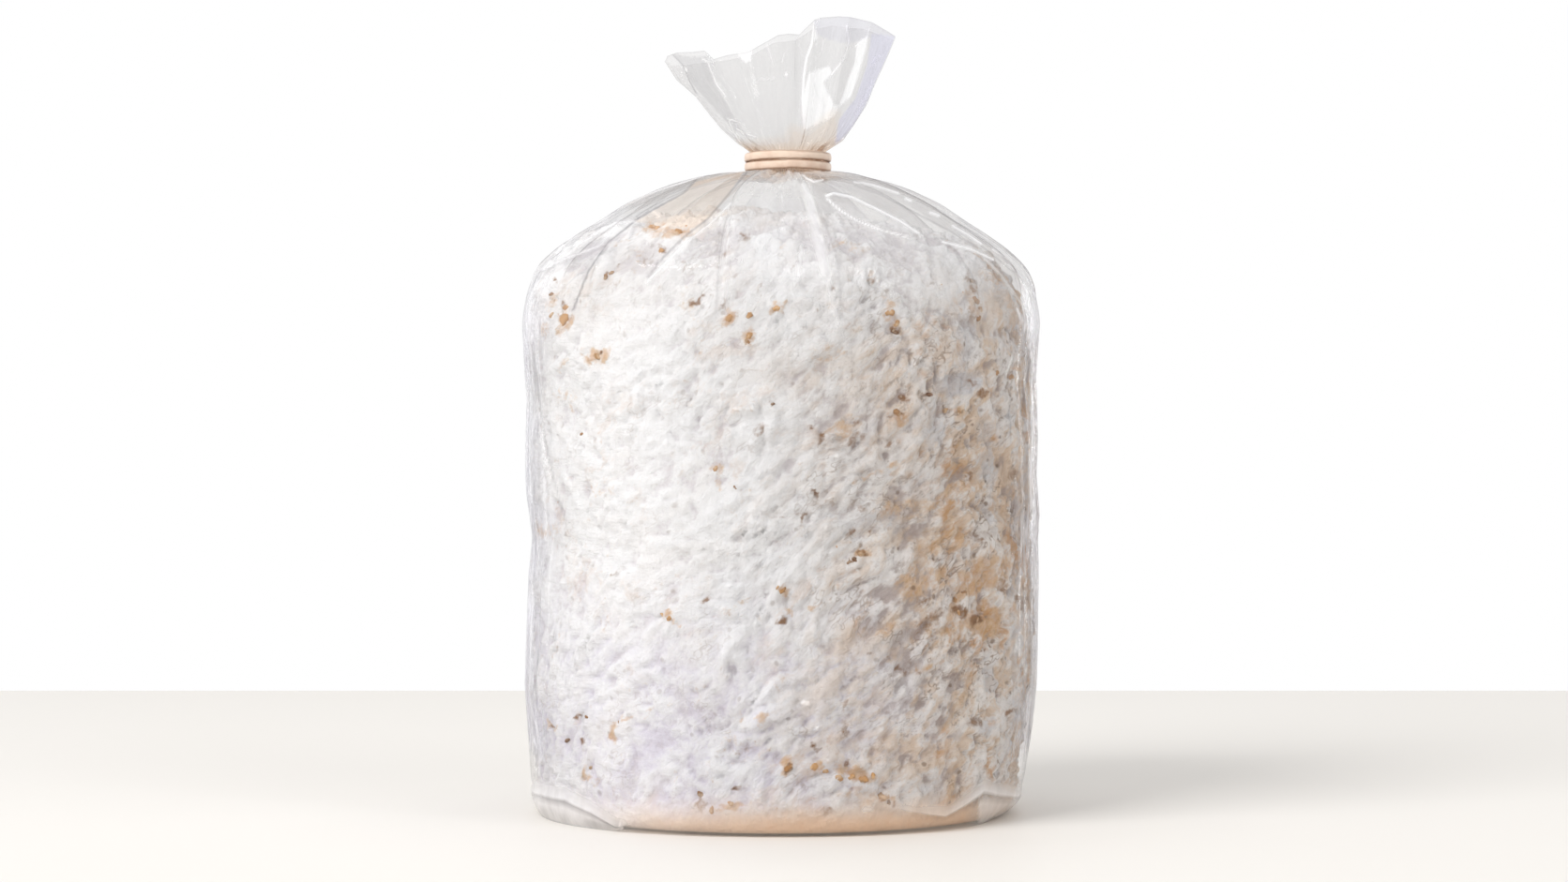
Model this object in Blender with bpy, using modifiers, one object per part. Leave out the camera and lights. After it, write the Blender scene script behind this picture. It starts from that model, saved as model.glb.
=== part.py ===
"""A mushroom grow bag: a block of sawdust bound by white mycelium, standing in a clear film bag
whose top is gathered, tied with a rubber band wound twice, and left flared above the tie.

Metres, +Z up. The origin is the middle of the flat bottom, and the front faces -Y.
"""

import math

import bmesh
import bpy
import numpy as np

# The bag, filled: a flat tube 250 mm wide closes round a block about 159 mm across.
BAG_WIDTH = 0.1595
BAG_DEPTH = 0.1580
FILM_WALL = 0.0004
BODY_SQUARENESS = 2.15

# Heights, from the bottom up: the side, the block's crown over it, and the tent up to the tie.
SIDE_HEIGHT = 0.150
BLOCK_CROWN = 0.035
TENT_RISE = 0.0126

# The foot: the two bottom corners of the tube are folded under, one at each end of X. At the
# front and back the film turns under over a softer ridge, which lies higher.
FOLD_HEIGHT = 0.006
FRONT_RIDGE_HEIGHT = 0.0085
FOLD_TUCK = 0.0052
FOLD_START = 0.55
FOLD_CREASE = 0.0008
FOOT_INSET = 0.0024
FOOT_ROUND = 0.0012

# The neck: gathered film under the tie, a little to the right of the block's axis.
NECK_WIDTH = 0.0216
NECK_SHIFT = 0.0020
PLEATS = 14
PLEAT_WANDER = 0.07
PLEAT_UNEVENNESS = 0.25
NECK_PLEAT_DEPTH = 0.0056
NECK_SWELL = 0.0016

# The mouth: the free end of the film, fanned out above the tie, higher on its right side.
# The rim's rises are measured from the top of the tie.
MOUTH_LEFT = 0.0382
MOUTH_RIGHT = 0.0334
MOUTH_DEPTH = 0.0520
RIM_LEFT_RISE = 0.0298
RIM_TOP_RISE = 0.0431
RIM_RIGHT_RISE = 0.0363
RIM_TOP_SHARE = 0.50
RIM_PLEAT_DEPTH = 0.0060
RIM_DIP = 0.0022

# The block inside, clear of the film all round. Its rounded shoulder starts below the side's top.
BLOCK_GAP = 0.0004
BLOCK_SHOULDER_DROP = 0.005
BLOCK_TOP_FLATNESS = 3.2
BLOCK_TOP_FULLNESS = 2.2
BLOCK_FOOT_RISE = 0.030
BLOCK_FOOT_INSET = 0.012
BLOCK_LUMP = 0.0009
LUMP_SIZE = 0.026
LUMP_START = 0.009

# The rubber band: one closed loop that goes round twice and crosses itself at the back.
STRAND = 0.0024
BAND_SEAT_GAP = 0.0004
STRAND_GAP = 0.0003
CROSSING_ANGLE = math.radians(38)

SEGMENTS_PER_PLEAT = 4
BLOCK_STEPS = 48
BLOCK_TOP_ROWS = 9
BLOCK_SIDE_ROWS = 3
BLOCK_FOOT_ROWS = 6
BAND_STEPS_PER_TURN = 30

# Side of the bag: share of the side's height, then how far in it lies on the left, the right
# and at the front and back. The film is slack, so it waves in and out between the fold and the rim.
SIDE = (
    (0.08, 0.0021, 0.0052, 0.0007),
    (0.17, 0.0012, 0.0028, 0.0003),
    (0.30, 0.0006, 0.0010, 0.0002),
    (0.44, 0.0016, 0.0004, 0.0007),
    (0.60, 0.0026, 0.0002, 0.0011),
    (0.74, 0.0008, 0.0009, 0.0004),
    (0.87, 0.0014, 0.0003, 0.0006),
    (1.00, 0.0000, 0.0000, 0.0000),
)
# Shoulder: share of the half width, share of the rise from the side to the neck, then the depths
# of the fine pleats and of the broad folds. On the way out each two pleats join into one fold.
SHOULDER = (
    (0.998, 0.10, 0.0000, 0.0000),
    (0.987, 0.22, 0.0000, 0.0004),
    (0.956, 0.34, 0.0001, 0.0012),
    (0.881, 0.467, 0.0003, 0.0018),
    (0.790, 0.565, 0.0006, 0.0021),
    (0.697, 0.658, 0.0010, 0.0026),
    (0.610, 0.758, 0.0016, 0.0027),
    (0.490, 0.852, 0.0024, 0.0020),
    (0.330, 0.940, 0.0034, 0.0010),
    (0.215, 0.978, 0.0042, 0.0000),
)
# Mouth: share of the height above the tie, then the shares of its reach on the left, the right
# and at the front and back. The left edge sweeps outwards, the right edge leans back in.
MOUTH = (
    (0.12, 0.415, 0.525, 0.585),
    (0.26, 0.530, 0.625, 0.690),
    (0.43, 0.636, 0.735, 0.790),
    (0.62, 0.746, 0.817, 0.870),
    (0.80, 0.903, 0.907, 0.945),
    (1.00, 1.000, 1.000, 1.000),
)


def clear_scene():
    for old in list(bpy.data.objects):
        bpy.data.objects.remove(old, do_unlink=True)


def make_material(name, colour, roughness, alpha=1.0):
    material = bpy.data.materials.new(name)
    material.use_nodes = True
    shader = material.node_tree.nodes["Principled BSDF"]
    shader.inputs["Base Color"].default_value = (*colour, 1.0)
    shader.inputs["Roughness"].default_value = roughness
    shader.inputs["Metallic"].default_value = 0.0
    shader.inputs["Alpha"].default_value = alpha
    return material


def add_object(name, data, material, collection, parent):
    made = bpy.data.objects.new(name, data)
    made.data.materials.append(material)
    made.parent = parent
    collection.objects.link(made)
    return made


def rounded(angle, squareness):
    """Cosine and sine of a superellipse, which is a circle at 2 and squarer above it."""
    power = 2.0 / squareness
    c, s = np.cos(angle), np.sin(angle)
    return np.sign(c) * np.abs(c) ** power, np.sign(s) * np.abs(s) ** power


def smooth(value):
    share = np.clip(value, 0.0, 1.0)
    return share * share * (3 - 2 * share)


def by_side(c, left, right):
    return np.where(c < 0, left, right)


def fold_weight(angle):
    """1 at the two ends of X, where the corners are folded, and 0 along the front and back."""
    return smooth((np.abs(np.cos(angle)) - FOLD_START) / (1 - FOLD_START))


def body_ring(angle, inset_left, inset_right, inset_front, height):
    c, s = rounded(angle, BODY_SQUARENESS)
    reach = BAG_WIDTH / 2 - by_side(c, inset_left, inset_right)
    depth = BAG_DEPTH / 2 - inset_front
    return np.stack([reach * c, depth * s, np.broadcast_to(height, angle.shape)], axis=1)


def foot_rings(angle):
    """The flat bottom, the tucked lobe over it and the ridge where the film turns under."""
    fold = fold_weight(angle)
    _, side_left, side_right, side_front = SIDE[0]
    ridge = FRONT_RIDGE_HEIGHT + (FOLD_HEIGHT - FRONT_RIDGE_HEIGHT) * fold
    lean = (side_right - side_left) * fold
    ridge_inset = side_front + (side_left - side_front) * fold
    under_inset = (FOOT_INSET + ridge_inset) / 2 + FOLD_TUCK * fold / 2
    levels = (
        (0.0, FOOT_INSET + FOLD_TUCK * fold),
        (ridge / 3, under_inset),
        (ridge, ridge_inset),
        (ridge + FOOT_ROUND, ridge_inset + FOLD_CREASE * fold),
    )
    return [
        (body_ring(angle, inset, inset + lean, inset, height), 0.0)
        for height, inset in levels
    ]


def side_rings(angle):
    return [
        (body_ring(angle, left, right, front, share * SIDE_HEIGHT), 0.0)
        for share, left, right, front in SIDE
    ]


def valleys(turn, count):
    """0 on each ridge and up to 1 in the valley beside it. Some valleys are shallower."""
    depth = 1 - PLEAT_UNEVENNESS * (1 + np.sin(2 * turn + 0.6)) / 2
    return depth * (1 - np.cos(count * turn)) / 2


def shoulder_rings(angle, turn):
    """The shoulder leans over to the neck's own centre as it rises."""
    rise = neck_height() - SIDE_HEIGHT
    rings = []
    for out, up, pleat, fold in SHOULDER:
        squareness = 2.0 + (BODY_SQUARENESS - 2.0) * out
        c, s = rounded(angle, squareness)
        shift = NECK_SHIFT * (1 - out)
        ring = np.stack([
            shift + out * BAG_WIDTH / 2 * c,
            out * BAG_DEPTH / 2 * s,
            np.full(angle.shape, SIDE_HEIGHT + rise * up),
        ], axis=1)
        push = pleat * valleys(turn, PLEATS) + fold * valleys(turn, PLEATS / 2)
        rings.append((ring, push))
    return rings


def neck_height():
    return SIDE_HEIGHT + BLOCK_CROWN + TENT_RISE


def tie_height():
    """Height of the two turns of the band, one above the other."""
    return 2 * STRAND + STRAND_GAP


def neck_ring(angle, radius, height):
    c, s = np.cos(angle), np.sin(angle)
    return np.stack([NECK_SHIFT + radius * c, radius * s, np.full(angle.shape, height)], axis=1)


def neck_rings(angle, valley):
    """The film is pinched under the tie and swells out again just below and above it."""
    pinch = NECK_WIDTH / 2
    swell = pinch + NECK_SWELL
    low = neck_height()
    high = low + tie_height()
    clear = NECK_SWELL / 2
    levels = ((swell, low - clear), (pinch, low), (pinch, high), (swell, high + clear))
    return [
        (neck_ring(angle, radius, height), NECK_PLEAT_DEPTH * valley)
        for radius, height in levels
    ]


def rim_rise(c, valley):
    """Rise of the mouth's rim by how far left or right it lies, from -1 to 1."""
    rises = (RIM_LEFT_RISE, RIM_LEFT_RISE, RIM_TOP_RISE, RIM_RIGHT_RISE)
    return np.interp(c, (-1.0, -0.5, RIM_TOP_SHARE, 1.0), rises) - RIM_DIP * valley


def mouth_rings(angle, valley):
    start = neck_height() + tie_height()
    c, s = np.cos(angle), np.sin(angle)
    rings = []
    for up, left, right, front in MOUTH:
        reach = by_side(c, left * MOUTH_LEFT, right * MOUTH_RIGHT)
        ring = np.stack([
            NECK_SHIFT + reach * c,
            front * MOUTH_DEPTH / 2 * s,
            start + rim_rise(c, valley) * up,
        ], axis=1)
        pleat = NECK_PLEAT_DEPTH + (RIM_PLEAT_DEPTH - NECK_PLEAT_DEPTH) * up
        rings.append((ring, pleat * valley))
    return rings


def pleated(rings):
    """Each ring pushed in along the surface's normal, by its own depth at each column."""
    points = np.array([ring for ring, _ in rings])
    push = np.array([np.broadcast_to(depth, len(points[0])) for _, depth in rings])
    along = np.gradient(points, axis=0)
    around = np.roll(points, -1, axis=1) - np.roll(points, 1, axis=1)
    normal = np.cross(around, along)
    normal /= np.linalg.norm(normal, axis=2, keepdims=True)
    return points - normal * push[:, :, None]


def loft(name, rings):
    """A skin through closed rings, from a flat face on the first one to an open last one."""
    bm = bmesh.new()
    levels = [[bm.verts.new(point) for point in ring] for ring in rings]
    bm.faces.new(reversed(levels[0]))
    for lower, upper in zip(levels, levels[1:]):
        for i in range(len(lower)):
            j = (i + 1) % len(lower)
            bm.faces.new((lower[i], lower[j], upper[j], upper[i]))
    mesh = bpy.data.meshes.new(name)
    bm.to_mesh(mesh)
    bm.free()
    return mesh


def make_film_bag(collection, parent):
    count = PLEATS * SEGMENTS_PER_PLEAT
    turn = np.arange(count) * 2 * math.pi / count
    angle = turn + PLEAT_WANDER * np.sin(3 * turn + 1.0)
    valley = valleys(turn, PLEATS)
    rings = foot_rings(angle) + side_rings(angle) + shoulder_rings(angle, turn)
    rings += neck_rings(angle, valley) + mouth_rings(angle, valley)
    film = make_material("clear film", (0.86, 0.88, 0.90), 0.12, alpha=0.25)
    skin = loft("film_bag", pleated(rings))
    made = add_object("film_bag", skin, film, collection, parent)
    made.data.shade_smooth()
    wall = made.modifiers.new("film wall", "SOLIDIFY")
    wall.thickness = FILM_WALL
    wall.offset = -1.0
    return made


def block_profile(radius):
    """Half outline of the block, from the middle of its top down its side to its middle below."""
    bottom = FILM_WALL + BLOCK_GAP
    top = SIDE_HEIGHT + BLOCK_CROWN
    start = SIDE_HEIGHT - BLOCK_SHOULDER_DROP
    points = [(0.0, top)]
    for swing in np.linspace(0, math.pi / 2, BLOCK_TOP_ROWS + 1)[1:]:
        out = math.sin(swing) ** (2 / BLOCK_TOP_FLATNESS)
        up = max(math.cos(swing), 0.0) ** (2 / BLOCK_TOP_FULLNESS)
        points.append((radius * out, start + (top - start) * up))
    for up in np.linspace(start, bottom + BLOCK_FOOT_RISE, BLOCK_SIDE_ROWS + 2)[1:-1]:
        points.append((radius, up))
    for swing in np.linspace(0, math.pi / 2, BLOCK_FOOT_ROWS):
        inset = BLOCK_FOOT_INSET * (1 - math.cos(swing))
        rise = BLOCK_FOOT_RISE * (1 - math.sin(swing))
        points.append((radius - inset, bottom + rise))
    points.append((0.0, bottom))
    return points


def make_block(collection, parent):
    slack = max(max(left, right) for _, left, right, _ in SIDE[1:])
    radius = BAG_WIDTH / 2 - FILM_WALL - BLOCK_GAP - slack - BLOCK_LUMP
    profile = block_profile(radius)
    mesh = bpy.data.meshes.new("mycelium_block")
    edges = [(i, i + 1) for i in range(len(profile) - 1)]
    mesh.from_pydata([(out, 0.0, up) for out, up in profile], edges, [])
    mycelium = make_material("white mycelium", (0.86, 0.84, 0.80), 0.9)
    made = add_object("mycelium_block", mesh, mycelium, collection, parent)
    lumpy = made.vertex_groups.new(name="lumpy")
    for index, (out, up) in enumerate(profile):
        lumpy.add([index], smooth((up - LUMP_START) / BLOCK_FOOT_RISE), "REPLACE")
    spin = made.modifiers.new("turned", "SCREW")
    spin.steps = BLOCK_STEPS
    spin.render_steps = BLOCK_STEPS
    spin.use_merge_vertices = True
    spin.merge_threshold = 0.00005
    noise = bpy.data.textures.new("lumps", "CLOUDS")
    noise.noise_scale = LUMP_SIZE
    lumps = made.modifiers.new("lumps", "DISPLACE")
    lumps.texture = noise
    lumps.strength = 2 * BLOCK_LUMP
    lumps.mid_level = 0.5
    lumps.vertex_group = lumpy.name
    made.scale.y = BAG_DEPTH / BAG_WIDTH
    return made


def band_point(turn, angle):
    """A point on the strand's centre line. The angle runs from the front round to the front."""
    from_back = angle - math.pi
    crossed = smooth((from_back / CROSSING_ANGLE + 1) / 2)
    pitch = STRAND + STRAND_GAP
    level = pitch / 2 * (1 - 2 * crossed)
    radius = NECK_WIDTH / 2 + BAND_SEAT_GAP + STRAND / 2
    if turn == 1:
        level = -level
    else:
        over = smooth(2.0 - abs(from_back) / CROSSING_ANGLE)
        radius += pitch * over
    middle = neck_height() + tie_height() / 2
    return (NECK_SHIFT + radius * math.sin(angle), -radius * math.cos(angle), middle + level)


def make_band(collection, parent):
    curve = bpy.data.curves.new("rubber_band", "CURVE")
    curve.dimensions = "3D"
    curve.bevel_depth = STRAND / 2
    curve.bevel_resolution = 2
    path = curve.splines.new("POLY")
    path.points.add(2 * BAND_STEPS_PER_TURN - 1)
    for index, point in enumerate(path.points):
        turn, step = divmod(index, BAND_STEPS_PER_TURN)
        angle = step * 2 * math.pi / BAND_STEPS_PER_TURN
        point.co = (*band_point(turn, angle), 1.0)
    path.use_cyclic_u = True
    rubber = make_material("natural rubber", (0.72, 0.52, 0.36), 0.55)
    return add_object("rubber_band", curve, rubber, collection, parent)


def main():
    clear_scene()
    collection = bpy.data.collections.new("mushroom_grow_bag")
    bpy.context.scene.collection.children.link(collection)
    stand = bpy.data.objects.new("grow_bag", None)
    collection.objects.link(stand)
    make_block(collection, stand)
    make_film_bag(collection, stand)
    make_band(collection, stand)


main()
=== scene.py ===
"""A mushroom grow bag: a white mycelium block in a clear film bag, gathered and tied with a band.

Metres, +Z up, the front faces -Y. The pieces follow in the order in which the real bag is made:
the block, the grains in its skin, the film, the band, and then the floor and the light.
"""

import math

import bpy
import numpy as np
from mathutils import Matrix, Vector
from mathutils.bvhtree import BVHTree


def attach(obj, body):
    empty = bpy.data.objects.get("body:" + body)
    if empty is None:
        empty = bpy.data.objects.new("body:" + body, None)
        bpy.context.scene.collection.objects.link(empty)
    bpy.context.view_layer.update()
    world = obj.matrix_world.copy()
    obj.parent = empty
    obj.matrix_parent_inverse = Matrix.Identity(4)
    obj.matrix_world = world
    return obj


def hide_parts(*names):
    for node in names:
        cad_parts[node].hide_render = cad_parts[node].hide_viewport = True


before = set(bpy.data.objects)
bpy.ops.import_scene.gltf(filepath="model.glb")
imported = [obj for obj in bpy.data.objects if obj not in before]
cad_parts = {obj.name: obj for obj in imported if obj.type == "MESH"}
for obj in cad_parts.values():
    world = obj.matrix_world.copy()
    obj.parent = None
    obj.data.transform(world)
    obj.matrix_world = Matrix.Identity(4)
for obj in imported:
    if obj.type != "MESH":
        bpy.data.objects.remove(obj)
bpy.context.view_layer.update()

# The mycelium block: sawdust and grain bound by white mycelium into one lump.
# It grew against the film, which pressed its side into low diagonal wrinkles. Its crown grew free
# under the gathered film, broad and square on the left and rounder on the right.
MM = 0.001
# The photograph's camera: where it stood in metres, its middle and its reach in pixels.
eye = Vector((0.00087, -1.0776, 0.114))
photo_middle = (836.0, 470.5)
photo_lens = 3715.6
# The columns of its skin: from and to which azimuth in degrees, and how many.
front_span = (172, 368, 285)
back_span = (368, 532, 125)
crown_rows = 80
side_rows = 134
foot_rows = 28
block_bottom = 0.8
block_foot_rise = 10.0
block_foot_inset = 4.0
block_reach = {"right": 77.4, "back": 77.3, "left": 77.2, "front": 77.3}
waist_fade = 0.12
# How far the film's left and right sides lie inside its full width, by height in millimetres.
left_inset = (
    (4, 2.9), (12, 2.4), (24, 1.4), (39, 0.5), (50, 0.9), (62, 1.4), (73, 1.5), (79, 2), (85, 2.6),
    (91, 2), (97, 1.4), (103, 1.1), (114, 1.1), (126, 1.4), (132, 0.8), (140, 0.2), (150, 0))
right_inset = (
    (4, 6), (12, 4.8), (18, 3.8), (24, 2.9), (39, 1.1), (50, 0.5), (62, 0.3), (85, 0.3), (91, 0),
    (97, 0.3), (103, 0.8), (114, 0.3), (126, 0.6), (132, 1.1), (137, 0.8), (145, 0.2), (150, 0))
block_crown = {
    "right": ((0, 185.4), (0.26, 181.9), (0.5, 180), (0.63, 178.2), (0.75, 174.6), (0.86, 169.4),
        (0.915, 164.2), (0.96, 155.5), (1, 138)),
    "back": ((0, 185.2), (0.3, 184), (0.5, 182), (0.65, 178.8), (0.78, 173.6), (0.88, 166.5), (0.95, 157),
        (0.99, 148), (1, 141)),
    "left": ((0, 185.9), (0.2, 186.2), (0.45, 181.3), (0.6, 182), (0.7, 180.3), (0.82, 175.6),
        (0.91, 170.6), (0.965, 165), (1, 148)),
    "front": ((0, 184.6), (0.25, 184.2), (0.45, 183.2), (0.62, 180.8), (0.76, 175.6), (0.87, 168.6),
        (0.945, 158.6), (0.985, 148.2), (1, 141)),
}
wrinkle_lean = math.radians(38)
block_sizes = {
    "Lump Height": 0.0014, "Lump Size": 0.024, "Clump Height": 0.0012, "Clump Size": 0.0052,
    "Crown Height": 0.0030, "Crown Size": 0.0130, "Wrinkle Depth": 0.0013, "Wrinkle Size": 0.0058,
    "Felt Height": 0.0007, "Felt Size": 0.0026, "Pit Depth": 0.0012, "Pit Size": 0.012, "Seed": 7,
}
highest_lump = 0.0019
mycelium_white = (0.940, 0.935, 0.942)
thread_white = (0.880, 0.840, 0.810)
raised_highlight_white = (0.930, 0.900, 0.880)
aged_beige = (0.730, 0.655, 0.605)
haze_taupe = (0.600, 0.510, 0.455)
hollow_shade_taupe = (0.390, 0.295, 0.250)
sunken_shade_taupe = (0.340, 0.250, 0.200)
hollow_shade_lilac = (0.720, 0.680, 0.740)
low_shade_lilac = (0.720, 0.680, 0.785)
bare_blue = (0.640, 0.650, 0.690)
patch_blue = (0.590, 0.595, 0.640)
stain_tan = (0.700, 0.480, 0.290)
stain_tawny = (0.740, 0.545, 0.370)
stain_orange = (0.600, 0.310, 0.110)
floor_glow_peach = (0.920, 0.690, 0.500)
husk_brown = (0.270, 0.130, 0.050)
pore_brown = (0.270, 0.185, 0.135)
crack_brown = (0.28, 0.18, 0.12)
grit_brown = (0.230, 0.155, 0.115)
speck_brown = (0.20, 0.12, 0.07)
# Marks on the block's front where the photograph shows them: place in its pixels, half length,
# half width, lean in degrees up to the right, and strength.
# The long thin brown marks and the upright taupe marks high on the crown are painted shade along its valleys.
block_marks = {
    "tan": ((1012, 438, 22, 4, -8, 1), (960, 448, 10, 7, 20, 0.8), (1052, 420, 9, 8, 60, 0.7),
        (1087, 391, 11, 6, 10, 1), (940, 502, 34, 5, 18, 0.7), (1036, 494, 26, 9, 30, 0.8),
        (1018, 530, 36, 14, 28, 0.65), (1008, 581, 34, 10, 14, 0.8), (955, 541, 26, 8, 12, 0.5),
        (1060, 541, 8, 12, 70, 0.6), (920, 590, 8, 6, 0, 1.2), (1024, 593, 5, 4, 0, 0.9),
        (1052, 612, 46, 24, 10, 0.85), (990, 620, 36, 18, 12, 0.92), (1036, 627, 16, 9, 20, 1),
        (1050, 664, 24, 20, 0, 1.1), (1018, 668, 30, 12, 20, 0.8), (835, 629, 7, 5, 0, 1.2),
        (843, 653, 6, 3, 0, 0.9), (870, 646, 15, 3, 30, 0.8), (896, 625, 15, 4, 45, 0.6),
        (945, 672, 14, 6, 32, 0.9), (950, 700, 10, 6, 65, 0.8), (992, 712, 5, 3, 0, 1),
        (872, 820, 9, 6, 10, 1.1), (915, 826, 24, 7, -14, 1.15), (944, 852, 11, 5, -20, 1.2),
        (925, 850, 26, 8, -8, 0.62), (1040, 801, 14, 5, 15, 0.6), (840, 818, 9, 9, 0, 1.2),
        (812, 765, 10, 9, 0, 0.9), (790, 764, 8, 4, 0, 0.7), (580, 566, 10, 14, 90, 0.75),
        (615, 605, 18, 10, 0, 0.5), (710, 655, 6, 7, 0, 1.1), (719, 664, 5, 4, 0, 1.1),
        (669, 767, 5, 4, 0, 0.9), (655, 782, 10, 4, 80, 0.8), (625, 828, 7, 5, 0, 0.9),
        (780, 861, 18, 5, 5, 1), (588, 775, 9, 6, 0, 0.7), (602, 342, 16, 8, 80, 0.95),
        (637, 379, 12, 9, 30, 1), (778, 338, 9, 7, 40, 0.95), (799, 358, 12, 10, 80, 0.95),
        (950, 337, 9, 20, 20, 1), (711, 247, 26, 8, -8, 0.9), (1040, 320, 9, 24, 20, 0.8),
        (1060, 300, 16, 10, -40, 0.6), (905, 262, 20, 8, -10, 0.5), (835, 262, 16, 6, 0, 0.35),
        (680, 275, 14, 10, 60, 0.42), (765, 505, 6, 20, 10, 0.8), (828, 329, 10, 7, 20, 0.85),
        (735, 330, 12, 20, 20, 0.35), (1075, 560, 12, 30, 8, 0.5), (890, 380, 40, 12, 5, 0.35),
        (905, 452, 26, 14, 20, 0.5), (600, 420, 10, 18, 80, 0.5), (640, 520, 14, 8, 0, 0.35),
        (1010, 860, 40, 8, 20, 0.5), (590, 318, 14, 6, 70, 0.75), (580, 350, 10, 6, 80, 0.65),
        (600, 390, 12, 5, 60, 0.6), (668, 256, 18, 5, 30, 0.5)),
    "brown": ((912, 470, 17, 5, 42, 0.75), (913, 450, 5, 4, 0, 0.9), (956, 442, 8, 4, 20, 0.9),
        (963, 424, 5, 4, 60, 1.1), (991, 421, 8, 3, 18, 1.1), (1036, 407, 5, 3, 30, 0.9),
        (824, 431, 3, 3, 0, 1.1), (869, 526, 4, 3, 0, 1.2), (1031, 508, 8, 4, -32, 0.9),
        (810, 459, 13, 2.6, 52, 0.6), (875, 471, 9, 3, 62, 0.8), (858, 553, 9, 3, 50, 0.8),
        (907, 567, 9, 3, 62, 0.8), (930, 567, 11, 2.6, 55, 0.9), (843, 548, 20, 2.6, 16, 0.6),
        (920, 590, 4, 4, 0, 1.1), (906, 598, 5, 3.5, 0, 1.3), (1022, 652, 8, 9, 60, 1.1),
        (1042, 661, 9, 6, 30, 1.3), (1070, 625, 7, 13, 0, 0.7), (1089, 645, 6, 11, 0, 0.8),
        (985, 641, 8, 8, 0, 0.7), (996, 660, 20, 9, 50, 0.6), (960, 715, 6, 4, 0, 1),
        (925, 699, 6, 4, 0, 0.7), (900, 755, 4, 5, 0, 0.9), (901, 776, 5, 15, 0, 0.55),
        (870, 799, 5, 4, 0, 1.1), (1040, 770, 9, 8, 0, 0.75), (1075, 760, 4, 4, 0, 1.1),
        (841, 819, 5, 6, 0, 1.1), (953, 859, 6, 2.6, -30, 1.1), (794, 253, 8, 5, 0, 0.8),
        (785, 291, 4, 7, 0, 0.8), (746, 322, 19, 2.4, 28, 1), (727, 286, 3, 5, 0, 0.9),
        (1038, 308, 20, 5, -70, 0.8), (689, 276, 6, 4, 0, 0.7), (707, 266, 5, 5, 0, 0.9),
        (774, 322, 4, 12, 0, 0.6), (592, 300, 6, 4, 0, 0.8), (600, 330, 5, 14, 0, 0.6),
        (885, 296, 9, 2.4, 30, 0.6), (905, 275, 10, 2.4, -25, 0.5), (930, 300, 8, 3, 40, 0.5),
        (970, 310, 9, 3, 30, 0.5), (748, 856, 4, 11, 0, 0.9), (785, 843, 4, 4, 0, 0.9),
        (752, 641, 6, 5, 0, 0.8), (652, 614, 6, 4, 0, 0.9), (617, 763, 4, 4, 0, 1.1),
        (588, 775, 6, 3, 0, 0.9), (622, 790, 4, 7, 20, 0.9), (835, 662, 5, 4, 0, 1),
        (862, 455, 4, 3, 0, 0.9), (905, 510, 5, 3, 0, 0.6), (945, 476, 5, 4, 0, 0.8),
        (880, 868, 12, 6, 20, 0.6), (1048, 420, 6, 4, 60, 0.9), (1080, 500, 5, 18, 4, 0.6),
        (1040, 572, 7, 7, 0, 0.7), (918, 540, 14, 10, 0, 0.55), (1079, 400, 5, 6, 0, 0.8),
        (1037, 336, 4, 10, 10, 0.6), (700, 560, 14, 8, 0, 0.25), (738, 500, 8, 4, 40, 0.3),
        (905, 812, 6, 4, 50, 0.8), (790, 800, 14, 6, 40, 0.35), (858, 780, 8, 5, 10, 0.5),
        (940, 752, 6, 12, 20, 0.4), (954, 350, 4, 4, 0, 1.3), (799, 362, 5, 4, 0, 0.9),
        (645, 294, 5, 4, 0, 0.7), (588, 316, 5, 9, 0, 0.6), (776, 268, 24, 2.4, 88, 0.75),
        (660, 285, 20, 2.4, 50, 0.6), (706, 300, 16, 2.4, 75, 0.5), (812, 302, 16, 2.4, 80, 0.55),
        (846, 296, 18, 2.4, 88, 0.5), (890, 302, 14, 2.4, 100, 0.5), (836, 330, 14, 2.4, 60, 0.5),
        (870, 330, 12, 2.4, 120, 0.45)),
    "taupe": ((985, 455, 120, 70, 0, 0.62), (1030, 560, 85, 90, 0, 0.8), (1062, 345, 34, 60, 0, 0.35),
        (930, 540, 80, 36, 20, 0.35), (1040, 700, 70, 60, 0, 0.7), (890, 396, 66, 26, 0, 0.4),
        (840, 402, 18, 24, 0, 0.5), (990, 378, 46, 20, 10, 0.4), (1000, 800, 100, 60, 0, 0.4),
        (860, 700, 60, 30, 30, 0.25), (740, 245, 60, 14, -10, 0.35), (815, 222, 26, 26, 0, 0.6),
        (798, 276, 36, 12, 90, 0.5), (846, 262, 34, 13, 90, 0.45), (668, 266, 28, 10, 40, 0.4),
        (890, 262, 24, 12, 90, 0.3)),
    "blue": ((1022, 410, 30, 13, 8, 1.1), (1030, 368, 12, 26, 0, 0.8), (1050, 452, 12, 26, 0, 0.6),
        (972, 512, 30, 10, 10, 0.6), (1010, 596, 26, 9, 20, 0.6), (955, 680, 26, 9, 20, 0.6),
        (1052, 775, 16, 8, 10, 0.9), (1018, 786, 10, 6, 0, 0.8), (930, 594, 12, 10, 60, 0.5),
        (860, 610, 26, 12, 30, 0.3), (1085, 730, 12, 40, 0, 0.7), (880, 355, 10, 8, 0, 0.4)),
}


def round_the_bag(azimuth, right, back, left, front):
    """Blends a value set at the bag's four sides smoothly round it."""
    c, s = np.cos(azimuth), np.sin(azimuth)
    return np.where(c > 0, right, left) * c * c + np.where(s > 0, back, front) * s * s


def even_steps(points, count):
    """Points at even distances along an outline."""
    points = np.array(points, float)
    run = np.concatenate([[0], np.cumsum(np.linalg.norm(np.diff(points, axis=0), axis=1))])
    at = np.linspace(0, run[-1], count)
    return np.stack([np.interp(at, run, column) for column in points.T], axis=1)


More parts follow.
